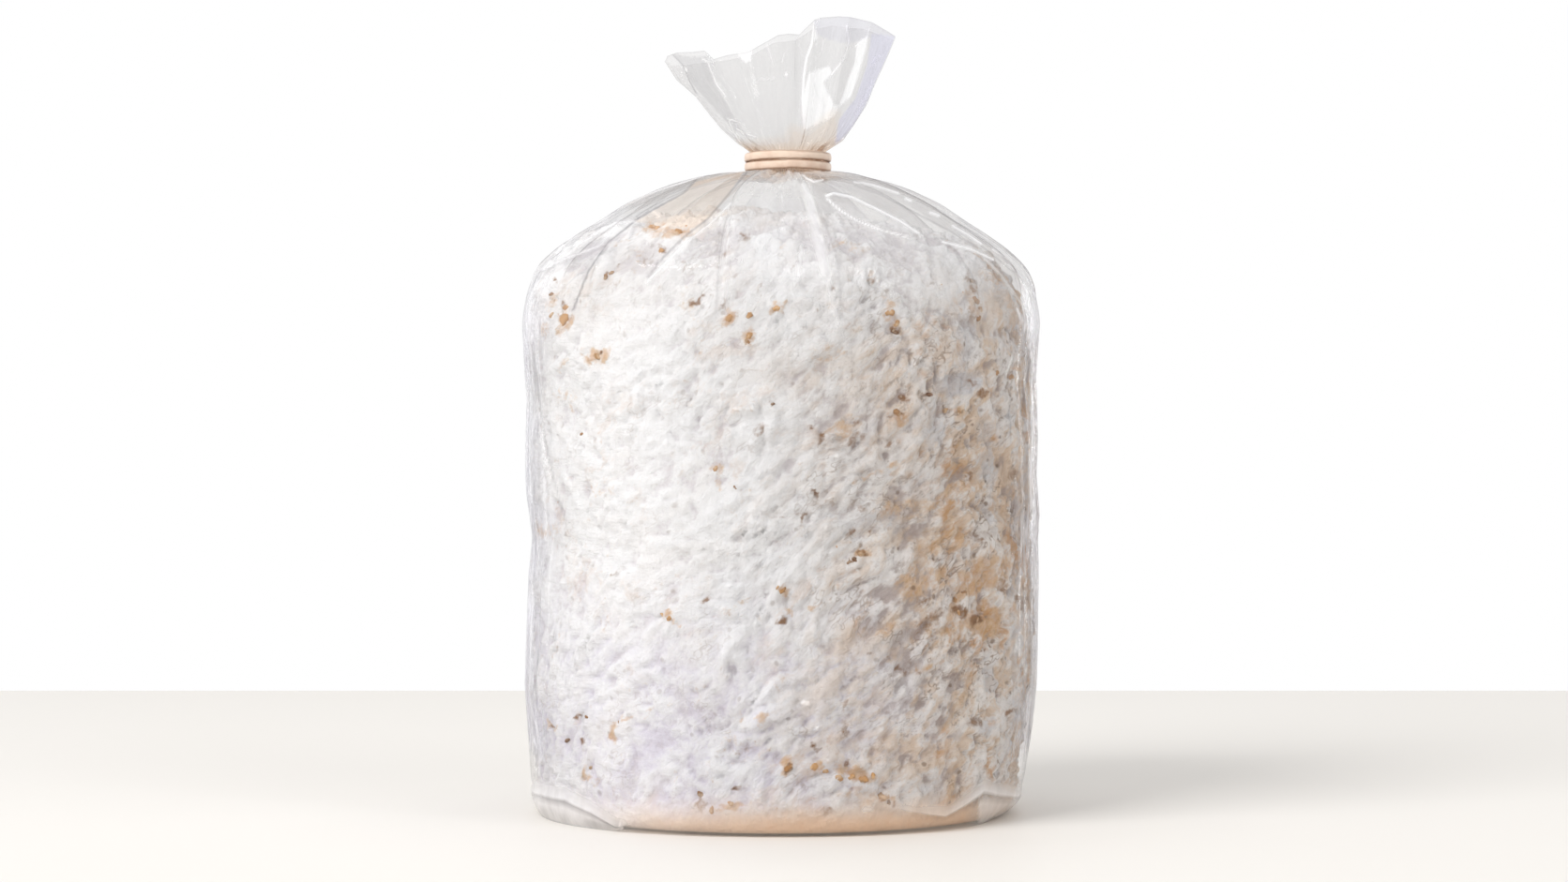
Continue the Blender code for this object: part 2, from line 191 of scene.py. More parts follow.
def softened(values, rounds):
    """Rounds the corners of an outline and leaves its two ends where they are."""
    for _ in range(rounds):
        values[1:-1] = (values[:-2] + 2 * values[1:-1] + values[2:]) / 4
    return values


def eased(value):
    """A smooth change from 0 to 1."""
    share = np.clip(value, 0.0, 1.0)
    return share * share * (3 - 2 * share)


def read_off(pairs, at):
    """Reads a value off a list of pairs, between one pair and the next."""
    pairs = np.array(pairs, float)
    return np.interp(at, pairs[:, 0], pairs[:, 1])


def seen_from_front(points):
    """Where each point lies in the photograph, in its pixels."""
    scale = photo_lens / (points[..., 1] - eye.y / MM)
    return np.stack([photo_middle[0] + (points[..., 0] - eye.x / MM) * scale,
                     photo_middle[1] - (points[..., 2] - eye.z / MM) * scale], axis=-1)


def marked(seen, marks):
    """How strongly each seen point lies in one of the marks, with soft, ragged edges."""
    crossed = seen[:, ::-1]
    wide = 2.0 * np.sin(crossed / 2.9 + 1.9 * np.sin(seen / 6.1 + 0.7))
    fine = 1.6 * np.sin(seen / 4.3 + crossed / 7.7)
    ragged = seen + (wide + fine)
    total = np.zeros(len(seen))
    for px, py, length, width, lean, strength in marks:
        x, y = (ragged - (px, py)).T
        c, s = math.cos(math.radians(lean)), math.sin(math.radians(lean))
        away = np.hypot((x * c - y * s) / length, (x * s + y * c) / width)
        total = np.maximum(total, strength * eased(1.5 - away))
    return total


def add_object(name, data):
    """Puts a mesh, a lamp or the camera in the scene."""
    made = bpy.data.objects.new(name, data)
    bpy.context.scene.collection.objects.link(made)
    return made


def show(name, mesh):
    """Puts a finished mesh in the scene as a smooth piece."""
    mesh.shade_smooth()
    return add_object(name, mesh)


def mesh_of(name, points, faces):
    """A mesh of points in metres and faces between them."""
    mesh = bpy.data.meshes.new(name)
    mesh.from_pydata([tuple(point) for point in points], [], faces)
    mesh.update()
    return mesh


def carry(mesh, label, values):
    """Stores a value at each point of a mesh, for its material to read."""
    mesh.attributes.new(label, "FLOAT", "POINT").data.foreach_set("value", values)


def between_rings(rows, columns, closed=False):
    """Quads between closed rings of points, and from the last ring to the first where closed."""
    count = rows * columns
    return [(row + k, row + (k + 1) % columns, (row + columns + (k + 1) % columns) % count,
             (row + columns + k) % count)
            for row in range(0, count if closed else count - columns, columns) for k in range(columns)]


def skin_mesh(name, rings, ends=(True, True)):
    """A skin over closed rings, with a fan over the first ring and over the last where asked."""
    rows, columns, _ = rings.shape
    points = list(rings.reshape(-1, 3) * MM)
    faces = between_rings(rows, columns)
    for asked, ring, first, turn in zip(ends, (rings[0], rings[-1]), (0, (rows - 1) * columns), (-1, 1)):
        if asked:
            points.append(ring.mean(axis=0) * MM)
            faces += [(*(first + k, first + (k + 1) % columns)[::turn], len(points) - 1)
                      for k in range(columns)]
    return mesh_of(name, points, faces)


def block_rings():
    """The block's rings from the middle of its bottom up to its crown, in millimetres."""
    azimuth = np.radians(np.concatenate([np.linspace(*span, endpoint=False)
                                         for span in (front_span, back_span)]))
    reach = round_the_bag(azimuth, *block_reach.values())
    crowns = [softened(even_steps(np.array(outline) * (block_reach[side], 1.0), crown_rows), 9)
              for side, outline in block_crown.items()]
    rings = [[round_the_bag(azimuth, *[crown[row, k] for crown in crowns]) for k in (0, 1)]
             for row in range(3, crown_rows)]
    edge = rings[-1][1]
    foot = block_bottom + block_foot_rise
    for share in np.linspace(0, 1, side_rows)[1:-1]:
        height = edge + (foot - edge) * share
        waist = round_the_bag(azimuth, read_off(right_inset, height), 0.0, read_off(left_inset, height), 0.0)
        rings.append((reach - waist * eased(share / waist_fade), height))
    reach = rings[-1][0]
    for swing in np.linspace(0, math.pi / 2, foot_rows):
        rings.append((reach - block_foot_inset * (1 - math.cos(swing)),
                      block_bottom + block_foot_rise * (1 - math.sin(swing)) + 0 * azimuth))
    for share in (0.8, 0.5, 0.2):
        rings.append(((reach - block_foot_inset) * share, block_bottom + 0 * azimuth))
    return np.array([np.stack([out * np.cos(azimuth), out * np.sin(azimuth), up], axis=1)
                     for out, up in rings[::-1]])


class Value:
    """What a node gives. Arithmetic on it adds a node for each step."""

    def __init__(self, socket):
        self.socket = socket

    def __add__(self, other):
        return step("ADD", self, other)

    def __sub__(self, other):
        return step("SUBTRACT", self, other)

    def __rsub__(self, other):
        return step("SUBTRACT", other, self)

    def __mul__(self, other):
        return step("MULTIPLY", self, other)

    def __rtruediv__(self, other):
        return step("DIVIDE", other, self)


def join(value, socket):
    """Links a node's value to a socket, or sets the socket to a plain number or colour."""
    if isinstance(value, Value):
        tree.links.new(value.socket, socket)
    else:
        socket.default_value = (*value, 1.0) if socket.type == "RGBA" else value


def add_node(kind, inputs=None, **settings):
    """Adds a node to the tree in hand."""
    made = tree.nodes.new(kind)
    for name, value in settings.items():
        setattr(made, name, value)
    for key, value in (inputs or {}).items():
        join(value, made.inputs[key])
    return made


def given_by(kind, inputs=None, output=0, **settings):
    """Adds a node and gives one of its outputs."""
    return Value(add_node(kind, inputs, **settings).outputs[output])


def all_given(kind, inputs=None, **settings):
    """Adds a node and gives its outputs by name."""
    return {output.name: Value(output) for output in add_node(kind, inputs, **settings).outputs}


def step(operation, *values):
    """One step of arithmetic."""
    return given_by("ShaderNodeMath", dict(enumerate(values)), operation=operation)


def vector(operation, first, second):
    """One step of arithmetic on vectors. A scale takes a number as its second."""
    return given_by("ShaderNodeVectorMath", {0: first, 3 if operation == "SCALE" else 1: second},
                    operation=operation)


def attribute(name):
    """The value that a piece carries by this name."""
    return given_by("ShaderNodeAttribute", output="Fac", attribute_name=name)


def ramp(value, low, high, to_low=0.0, to_high=1.0):
    """A smooth change of a value from one level to another."""
    return given_by("ShaderNodeMapRange", {"Value": value, "From Min": low, "From Max": high,
                    "To Min": to_low, "To Max": to_high}, interpolation_type="SMOOTHSTEP")


def mixed(share, first, second):
    """A blend of two colours."""
    return given_by("ShaderNodeMix", {0: share, 6: first, 7: second}, output=2, data_type="RGBA")


def mottle(place, scale, detail=2.0, roughness=0.5, stretch=None, output=0):
    """Soft noise, stretched along the axes where asked."""
    if stretch:
        place = vector("MULTIPLY", place, stretch)
    return given_by("ShaderNodeTexNoise", {"Vector": place, "Scale": scale, "Detail": detail,
                    "Roughness": roughness}, output)


def wandering(place, scale, amount):
    """Coordinates that drift, so that no run of wrinkles stays straight."""
    drift = vector("SUBTRACT", mottle(place, scale, 1.0, output=1), (0.5, 0.5, 0.5))
    return vector("ADD", place, vector("SCALE", drift, amount))


def along_wrinkles(place, stretch):
    """Coordinates turned so that noise runs up to the right, as the wrinkles do, and stretched."""
    turned = given_by("ShaderNodeVectorRotate", {"Vector": place, "Axis": (0.0, 1.0, 0.0),
                      "Angle": wrinkle_lean}, rotation_type="AXIS_ANGLE")
    return vector("MULTIPLY", turned, (stretch, 1.0, 1.0))


def new_material(name):
    """A material, its node tree and its shader."""
    material = bpy.data.materials.new(name)
    material.use_nodes = True
    return material, material.node_tree, material.node_tree.nodes["Principled BSDF"]


def finish_with(colour, roughness, height, strength, distance):
    """Ends a material with its colour, roughness and fine relief."""
    join(colour, shader.inputs["Base Color"])
    join(roughness, shader.inputs["Roughness"])
    relief = given_by("ShaderNodeBump", {"Height": height, "Strength": strength, "Distance": distance})
    join(relief, shader.inputs["Normal"])


def new_tree(name, sizes):
    """A Geometry Nodes tree with a mesh in and out and a named input for each size."""
    tree = bpy.data.node_groups.new(name, "GeometryNodeTree")
    tree.interface.new_socket("Mesh", in_out="INPUT", socket_type="NodeSocketGeometry")
    tree.interface.new_socket("Mesh", in_out="OUTPUT", socket_type="NodeSocketGeometry")
    for label, value in sizes.items():
        kind = "NodeSocketInt" if isinstance(value, int) else "NodeSocketFloat"
        tree.interface.new_socket(label, in_out="INPUT", socket_type=kind)
    return tree


def end_tree(geometry, material):
    """Ends a tree: makes its instances real and gives the mesh its material."""
    whole = given_by("GeometryNodeRealizeInstances", {0: geometry})
    add_node("NodeGroupOutput", {0: given_by("GeometryNodeSetMaterial", {0: whole, "Material": material})})


def shaped_by(tree, base, sizes, name):
    """Runs a tree on a mesh with the sizes asked and keeps the result as a plain mesh."""
    carrier = add_object(name + "_carrier", base)
    modifier = carrier.modifiers.new(name, "NODES")
    modifier.node_group = tree
    labels = {item.name: item.identifier for item in tree.interface.items_tree
              if item.in_out == "INPUT"}
    for label, value in sizes.items():
        modifier[labels[label]] = value
    ready = bpy.context.evaluated_depsgraph_get()
    mesh = bpy.data.meshes.new_from_object(carrier.evaluated_get(ready),
                                           preserve_all_data_layers=True, depsgraph=ready)
    bpy.data.objects.remove(carrier, do_unlink=True)
    mesh.name = name
    return mesh


# Wrinkles run up to the right, but level on the left side. The block is browner, and shows more
# of its grain, towards its right side below the crown.
mycelium, tree, shader = new_material("white mycelium")
place = given_by("ShaderNodeTexCoord", output="Object")
right, _, up = all_given("ShaderNodeSeparateXYZ", {0: place}).values()
marks = {name: attribute(name) for name in block_marks}
hollow = attribute("hollow")
adrift = wandering(place, 30.0, 0.012)
slanted = along_wrinkles(adrift, 0.42)
rightness = ramp(right, -0.014, 0.063)
rightness = rightness * step("MAXIMUM", ramp(up, 0.166, 0.126, 0.06, 1.0), ramp(right, 0.055, 0.07))
wrinkled = mottle(slanted, 300.0, 6.0, 0.62)
level = mottle(adrift, 270.0, 6.0, 0.62, (0.45, 0.45, 1.15))
wrinkled = wrinkled * ramp(right, -0.062, -0.02) + level * ramp(right, -0.02, -0.062)
fuzz = mottle(place, 700.0, 5.0, 0.8)
grainy = (0.5 - fuzz) * 0.55 + (1.0 - wrinkled)
low_spots = hollow * 0.5 + grainy * 0.85
spread = mottle(slanted, 150.0, 5.0, 0.66) - 0.5
speckle = mottle(place, 420.0, 4.0, 0.7) - 0.5
# The skin itself: white where it is thick and beige to brown where it is thin, with painted shade where it is
# sunken and a painted highlight where it is raised.
grit = mottle(slanted, 560.0, 6.0, 0.78)
tawny = ramp(mottle(slanted, 125.0, 5.0, 0.7), 0.47, 0.64)
pores = ramp(mottle(slanted, 300.0, 5.0, 0.75, (1.0, 1.0, 1.2)), 0.46, 0.36)
sunken = spread * 0.9 + hollow
# Painted cool lilac shade low on the block's left and middle, strongest in its low spots.
low_shade = ramp(up, 0.085, 0.03) * ramp(right, 0.06, 0.0, 0.0, 0.85)
low_shade = low_shade * ramp(mottle(adrift, 90.0, 4.0, 0.7), 0.4, 0.58, 0.35, 1.0)
low_shade = low_shade * ramp(low_spots, 0.4, 0.85, 0.25, 1.0)
# Stains, cracks and specks on it, and the marks placed from the photograph.
thin = mottle(slanted, 70.0, 3.0, 0.6) * 0.55 + wrinkled * 0.45
stained = ramp(thin, 0.48, 0.575) * (rightness * 0.74 + 0.06)
tan_marks = ramp(spread * 2.4 + (speckle * 2.2 + marks["tan"]), 0.3, 1.25)
blue_marks = spread * 1.8 + (speckle + marks["blue"])
brown_marks = ramp(speckle * 1.8 + (spread * 1.2 + marks["brown"]), 0.3, 1.15)
patches = ramp(mottle(place, 46.0, 3.0, 0.6), 0.51, 0.62) * ramp(mottle(slanted, 170.0, 4.0, 0.7), 0.49, 0.62)
bare = ramp(mottle(slanted, 64.0, 4.0, 0.6, (1.1, 0.9, 1.0)), 0.55, 0.68)
crack = step("ABSOLUTE", mottle(slanted, 120.0, 3.0, 0.7) - 0.5)
crack = ramp(crack, 0.018, 0.002) * ramp(mottle(place, 60.0, 2.0), 0.5, 0.62)
cells = all_given("ShaderNodeTexVoronoi", {"Vector": adrift, "Scale": 260.0})
picked = ramp(given_by("ShaderNodeSeparateColor", {0: cells["Color"]}), 0.88, 0.9)
specks = ramp(cells["Distance"], 0.28, 0.12) * picked
# A painted warm glow from the floor's light on the block's foot, stronger towards the right.
rim = ramp(spread * 0.012 + up, 0.0125, 0.004) * ramp(right, -0.06, 0.01, 0.15, 0.8)
colour = mycelium_white
for share, tone in (
        (rightness * 0.55, aged_beige),
        (ramp(spread * 1.5 + marks["taupe"], 0.15, 1.1, 0.0, 0.66), haze_taupe),
        (tawny * (rightness * 0.72), stain_tawny),
        (ramp(grit, 0.5, 0.6) * (rightness * 0.7), thread_white),
        (ramp(grit, 0.47, 0.34) * (rightness * 0.65 + 0.12), grit_brown),
        (pores * (rightness * 0.7), pore_brown),
        # Painted shade on sunken spots and a painted highlight on raised ones, towards the right.
        (ramp(sunken, 0.46, 0.92) * (rightness * 0.62), sunken_shade_taupe),
        (ramp(sunken, 0.34, 0.06) * (rightness * 0.55), raised_highlight_white),
        (low_shade, low_shade_lilac),
        # Painted shade in the low spots, lilac.
        (ramp(low_spots, 0.7, 1.02, 0.0, 0.5), hollow_shade_lilac),
        (stained * 0.7, stain_tan),
        (tan_marks * 0.86, mixed(ramp(speckle, -0.1, 0.1), stain_orange, stain_tan)),
        (ramp(blue_marks, 0.25, 1.2, 0.0, 0.6), patch_blue),
        (patches * (rightness * 0.62 + 0.16), stain_orange),
        (bare * (rightness * 0.55 + 0.03), bare_blue),
        # Painted shade in the low spots, taupe, deeper towards the right.
        (ramp(low_spots, 0.7, 0.98) * (rightness * 0.72 + 0.14), hollow_shade_taupe),
        (brown_marks * 0.95, husk_brown),
        (crack * (rightness * 0.5 + 0.22), crack_brown),
        (specks * (rightness * 0.5 + 0.25), speck_brown),
        (rim, floor_glow_peach)):
    colour = mixed(share, colour, tone)
threads = mottle(place, 900.0, 2.0, 0.5, (1.0, 1.0, 0.16))
finish_with(colour, 0.86, fuzz * 0.28 + (threads * 0.25 + wrinkled), 1.0, 0.0017)
join(0.20, shader.inputs["Specular IOR Level"])

tree = new_tree("mycelium growth", block_sizes)
given = all_given("NodeGroupInput")
where = given_by("GeometryNodeInputPosition")
height = given_by("ShaderNodeSeparateXYZ", {0: where}, 2)
shift = given_by("ShaderNodeCombineXYZ", {0: given["Seed"], 1: given["Seed"]})
slanted = along_wrinkles(wandering(where, 24.0, 0.022), 0.45)


def shifted(place, size):
    """Coordinates in steps of one lump size, moved on by the seed."""
    return vector("ADD", vector("SCALE", place, 1.0 / given[size]), shift)


def growth(place, size, detail, roughness=0.5):
    """Noise of one lump size, from about -1 to 1."""
    return mottle(shifted(place, size), 1.0, detail, roughness) * 4.0 - 2.0


wrinkles = ramp(step("ABSOLUTE", growth(slanted, "Wrinkle Size", 1.5)), 0.42, 0.0)
wrinkles = wrinkles * ramp(growth(where, "Lump Size", 2.0, 0.7), -0.5, 0.4)
pit = all_given("ShaderNodeTexVoronoi", {"Vector": shifted(where, "Pit Size"), "Scale": 1.0})
some = ramp(given_by("ShaderNodeSeparateXYZ", {0: pit["Color"]}), 0.6, 0.66)
pits = ramp(pit["Distance"], 0.22, 0.06) * some
rise = growth(where, "Lump Size", 1.0) * given["Lump Height"]
rise = rise + growth(slanted, "Clump Size", 2.0, 0.6) * given["Clump Height"]
rise = rise + growth(where, "Felt Size", 2.0, 0.6) * given["Felt Height"]
rise = rise - wrinkles * given["Wrinkle Depth"] - pits * given["Pit Depth"]
peaks = (growth(where, "Crown Size", 3.0, 0.65) - 0.3) * ramp(height, 0.16, 0.174)
rise = step("MINIMUM", rise, highest_lump) + peaks * given["Crown Height"]
rise = rise * ramp(height, 0.001, 0.012)
stored = given_by("GeometryNodeStoreNamedAttribute", {"Geometry": given["Mesh"], "Name": "hollow",
                  "Value": ramp(rise, 0.0007, -0.002)}, data_type="FLOAT", domain="POINT")
offset = vector("SCALE", given_by("GeometryNodeInputNormal"), rise)
end_tree(given_by("GeometryNodeSetPosition", {"Geometry": stored, "Offset": offset}), mycelium)
block_skin = skin_mesh("block skin", block_rings())
block = show("grown_block", shaped_by(tree, block_skin, block_sizes, "grown_block"))
points = np.array([v.co for v in block.data.vertices]) / MM
for label, listed in block_marks.items():
    carry(block.data, label, marked(seen_from_front(points), listed) * eased(-points[:, 1] / 12))
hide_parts("mycelium_block")
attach(block, "root")
block_surface = BVHTree.FromPolygons([v.co for v in block.data.vertices],
                                     [tuple(p.vertices) for p in block.data.polygons])

# The grains: husks and crumbs of the spawn, which show brown where the mycelium is thin.
# They sit half sunk in the block's skin, thicker on its right side and near its foot, and the
# largest are set where the photograph shows them.
grain_sizes = {"Length": 0.0011, "Sunk Share": 0.45, "Grains Per Square Metre": 5200.0, "Seed": 11}
husk_dark = (0.180, 0.080, 0.032)
husk_light = (0.620, 0.350, 0.145)
husk_dusty = (0.850, 0.700, 0.520)
husk_rings, husk_sides = 9, 12
# A large grain's width, thickness and depth in the skin as shares of its length, how unevenly
# its surface swells, and how much longer it is made than it shows.
husk_width = 0.62
husk_thickness = 0.5
husk_sunk = 0.12
husk_swell = (0.50, 1.42)
husk_stretch = 1.05
husk_seed = 5
# The larger grains: where each shows in the photograph, in its pixels, its length in millimetres
# and how light its tone is.
grain_spots = (
    (637, 380, 2.8, 0.6), (641, 376, 1.6, 0.1), (602, 342, 4.2, 0.9), (603, 328, 2.4, 0.7),
    (588, 314, 1.8, 0.3), (592, 299, 1.3, 0.1), (588, 336, 2, 0.6), (724, 247, 2.6, 0.7),
    (696, 242, 2.4, 0.7), (701, 243, 1.8, 0.9), (705, 267, 2.6, 0.8), (646, 295, 2, 0.4),
    (652, 291, 1.8, 0.5), (778, 339, 2.6, 0.8), (799, 336, 2.4, 0.7), (799, 358, 2.9, 0.8),
    (797, 364, 1.8, 0.4), (828, 329, 2.2, 1), (949, 334, 3, 0.8), (956, 345, 2.4, 0.7),
    (954, 354, 2.6, 0), (1041, 320, 3.2, 0.5), (1046, 330, 2.6, 0.6), (1036, 300, 2, 0.1),
    (1044, 340, 2.2, 0.4), (919, 590, 2.8, 0.5), (911, 597, 2.2, 0), (905, 600, 1.6, 0.1),
    (835, 630, 2.4, 0.6), (829, 627, 1.4, 0.8), (713, 660, 2.2, 0.9), (706, 656, 1.4, 0.9),
    (841, 819, 3, 0.3), (868, 818, 2.6, 0.9), (880, 823, 2.2, 0.9), (895, 830, 2.4, 0.8),
    (908, 829, 2.2, 0.9), (921, 832, 3, 0.8), (931, 828, 2, 0.9), (940, 850, 3.2, 0.7),
    (948, 856, 1.8, 0.2), (748, 848, 3, 0.2), (759, 864, 2.4, 0.7), (779, 857, 2, 0.8),
    (1042, 661, 2.2, 0.5), (1022, 653, 2, 0.8), (1048, 650, 1.6, 0.8), (625, 765, 1.6, 0.2),
    (660, 770, 1.3, 0.3), (605, 790, 2, 0), (630, 819, 1.8, 0.3), (1063, 398, 2.4, 0.6),
    (1078, 402, 2.4, 0.6), (1018, 640, 2, 0.6), (1028, 632, 1.7, 0.5), (763, 500, 1.9, 0.7),
    (784, 520, 1.4, 0.3), (869, 526, 1.4, 0), (824, 431, 1.3, 0), (1008, 437, 2.4, 0.7),
    (1022, 438, 2.2, 0.6), (957, 440, 2.6, 0.5), (990, 421, 1.6, 0), (960, 423, 1.6, 0),
    (620, 463, 1.4, 0.4))

grain_husk, tree, shader = new_material("grain husk")
place = given_by("ShaderNodeTexCoord", output="Object")
dusty = ramp(mottle(place, 500.0, 3.0), 0.5, 0.62, 0.0, 0.35)
colour = mixed(dusty, mixed(attribute("tone"), husk_dark, husk_light), husk_dusty)
finish_with(colour, 0.62, mottle(place, 900.0, 2.0), 0.5, 0.0003)

tree = new_tree("grains in the skin", grain_sizes)
given = all_given("NodeGroupInput")
where = given_by("GeometryNodeInputPosition")
right, _, up = all_given("ShaderNodeSeparateXYZ", {0: where}).values()
thick = ramp(mottle(where, 42.0, 2.0), 0.42, 0.66)
density = ramp(right, -0.05, 0.075, 0.16, 1.0) * ramp(up, 0.185, 0.03, 0.45, 1.0)
density = given["Grains Per Square Metre"] * density * thick
spots = all_given("GeometryNodeDistributePointsOnFaces", {"Mesh": given["Mesh"], "Density": density,
                  "Seed": given["Seed"]}, distribute_method="RANDOM")
ball = given_by("GeometryNodeMeshIcoSphere", {"Radius": 1.0, "Subdivisions": 2})
uneven = vector("SUBTRACT", given_by("ShaderNodeTexNoise", {"Scale": 1.3}, 1), (0.5, 0.5, 0.5))
lumpy = given_by("GeometryNodeSetPosition", {"Geometry": ball, "Offset": vector("SCALE", uneven, 0.9)})


def by_chance(low, high, output=1, kind="FLOAT"):
    """A chance value for each grain."""
    first = {"FLOAT": 2, "FLOAT_VECTOR": 0}[kind]
    return given_by("FunctionNodeRandomValue", {first: low, first + 1: high, "Seed": given["Seed"]},
                    output, data_type=kind)


turn = by_chance((0.0, 0.0, 0.0), (6.28, 6.28, 6.28), 0, "FLOAT_VECTOR")
half = by_chance(0.35, 1.0) * (given["Length"] * 0.5)
size = given_by("ShaderNodeCombineXYZ", {0: half, 1: half * husk_width, 2: half * 0.55})
sunk = vector("SCALE", spots["Normal"], given["Length"] * (given["Sunk Share"] * -0.5))
settled = given_by("GeometryNodeSetPosition", {"Geometry": spots["Points"], "Offset": sunk})
grains = given_by("GeometryNodeInstanceOnPoints", {"Points": settled, "Instance": lumpy,
                  "Rotation": turn, "Scale": size})
end_tree(given_by("GeometryNodeStoreNamedAttribute", {"Geometry": grains, "Name": "tone",
         "Value": by_chance(0.0, 1.0)}, data_type="FLOAT", domain="INSTANCE"), grain_husk)
crumbs = show("crumbs", shaped_by(tree, block.data.copy(), grain_sizes, "crumbs"))
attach(crumbs, "root")


def large_grains():
    """Lumpy husks where the photograph shows the larger ones, half sunk in the block's skin."""
    chance = np.random.default_rng(husk_seed)
    points, faces, tones = [], [], []
    for px, py, length, tone in grain_spots:
        aim = Vector(((px - photo_middle[0]) / photo_lens, 1.0, (photo_middle[1] - py) / photo_lens))
        spot, normal, _, _ = block_surface.ray_cast(eye, aim.normalized())
        along = normal.cross(Vector((0, 0, 1))).normalized()
        lean = chance.uniform(0, math.pi)
        along = (along * math.cos(lean) + normal.cross(along) * math.sin(lean)).normalized()
        beside = normal.cross(along)
        half = length * husk_stretch * MM / 2
        wobble = chance.uniform(*husk_swell, (husk_rings, husk_sides))
        first = len(points)
        for (ring, side), wide in np.ndenumerate(wobble):
            a, b = ring * math.pi / (husk_rings - 1), side * 2 * math.pi / husk_sides
            out = math.sin(a) * wide
            points.append(spot + along * half * math.cos(a) + beside * half * husk_width * out * math.cos(b)
                          + normal * half * (husk_thickness * out * math.sin(b) - husk_sunk))
        faces += [tuple(first + k for k in face) for face in between_rings(husk_rings, husk_sides)]
        tones += [tone] * wobble.size
    mesh = mesh_of("husk", points, faces)
    carry(mesh, "tone", tones)
    mesh.materials.append(grain_husk)
    return mesh


husks = show("husks", large_grains())
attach(husks, "root")

# The film bag: one piece of clear film, with its bottom seam folded under the block, its side
# clinging to the block, its shoulder gathered in flat panels between sharp creases up to the
# neck, and its free end flared above the tie.
film_half_width = 79.75
film_half_depth = 79.0
film_squareness = 2.15
film_clearance = 0.35
side_top = 150.0
side_rings = 62
shoulder_rings = 136
neck_shift = 2.0
tie_low = 197.6
tie_high = 202.7
neck_radius = 10.8
neck_outline = ((11.3, 197.3), (10.9, 197.8), (neck_radius, 199.0), (neck_radius, 200.2))
shoulder_low = 140.0
foot_high = 30.0
widest_gap = 25.0
# Columns of the photograph, in its pixels: where the film starts to lie on the crown again, and
# between which the fold along the foot carries the most painted warm glow of the floor.
crown_again = 870
warm_glow_columns = (640, 1050)
clear_tint = (0.992, 0.992, 0.992)
free_tint = (0.875, 0.865, 0.855)
warm_tint = (0.960, 0.820, 0.680)
cool_tint = (0.820, 0.820, 0.930)
edge_tint = (0.68, 0.67, 0.68)
fold_shade_tint = (0.45, 0.44, 0.50)
crease_shade_tint = (0.28, 0.27, 0.29)
milk_white = (0.93, 0.93, 0.94)
milk_warm = (0.93, 0.76, 0.60)
milk_cool = (0.80, 0.80, 0.93)
front_inset = ((4, 0.4), (14, 1.2), (30, 1.5), (120, 1.5), (138, 0.9), (150, 0))
shoulder = (
    (79.75, 150), (79.6, 152.6), (79.2, 155.4), (78.5, 160.5), (76.7, 165.2), (75, 167.5), (70, 172.2),
    (63.4, 176.8), (55.8, 181.6), (49.5, 186), (39.8, 190.7), (33.7, 193), (25.8, 195.3), (15, 197),
    (12.6, 196.9))
# Round the foot, by azimuth in degrees: how high the lowest ridge stands, how far inside it the
# film comes to rest, how sharply the film is folded there, and how cloudy the fold is.
ridge_height = (
    (0, 6), (20, 7), (40, 3), (60, 7), (90, 9.5), (120, 8), (140, 2.5), (160, 6.5), (180, 6.5), (200, 8),
    (215, 8.2), (225, 5.4), (233, 1.6), (242, 4.5), (255, 8.5), (270, 10.2), (285, 9.4), (293, 8.5),
    (303, 6), (309, 4.8), (316, 8), (322, 11), (330, 9), (345, 6.5), (360, 6))
foot_inset = (
    (0, 7.4), (25, 5.5), (45, 2.6), (90, 2), (135, 2.4), (155, 3.2), (180, 2.8), (205, 2.5), (228, 2.5),
    (250, 2.2), (270, 2), (300, 2.2), (318, 3.5), (335, 6), (360, 7.4))
foot_fold = (
    (0, 0.8), (25, 0.6), (45, 0.3), (135, 0.3), (155, 0.6), (180, 0.9), (200, 1), (220, 1), (231, 0.8),
    (238, 0.2), (290, 0.1), (304, 0.6), (316, 0.9), (335, 0.9), (360, 0.8))
foot_cloud = (
    (0, 0.45), (25, 0.3), (45, 0.12), (135, 0.12), (155, 0.3), (180, 0.8), (205, 0.85), (222, 0.75),
    (233, 0.25), (244, 0), (312, 0), (328, 0.35), (345, 0.5), (360, 0.45))
# Each crease: azimuths low on the shoulder, half way and at the neck, the height where it ends,
# the height of its sharp ridge, how flat the film lies from it to the next crease, and how
# strong its dark line of painted shade is, which also sets a painted highlight just beside it.
creases = (
    (12, 11, 10, 158, 0.35, 0.7, 0.4), (36, 34, 33, 150, 0.55, 0.8, 0.7),
    (57, 59, 60, 160, 0.35, 0.7, 0.4), (83, 82, 84, 148, 0.6, 0.8, 0.8),
    (108, 106, 104, 158, 0.4, 0.7, 0.5), (131, 133, 134, 150, 0.55, 0.8, 0.8),
    (155, 154, 152, 160, 0.35, 0.7, 0.5), (174, 175, 176, 160, 0.5, 0.8, 0.6),
    (192, 192, 193, 162, 0.6, 0.9, 0.5), (216, 216, 217, 152, 0.6, 0.6, 0),
    (226, 222, 222, 156, 0.3, 0.5, 0.3), (238, 243, 246, 160, 0.65, 0.6, 0),
    (258, 253, 252, 146, 0.5, 0.8, 0.3), (281, 279, 277, 148, 0.6, 0.2, 0.2),
    (335, 327, 321, 158, 0.55, 0.7, 0.5), (348, 347, 345, 154, 0.4, 0.7, 0.4))
# Flaps of the gathered film that lie double: the azimuths of their edges and how cloudy they are.
flaps = ((258, 281, 0.17), (83, 98, 0.15), (131, 142, 0.12))


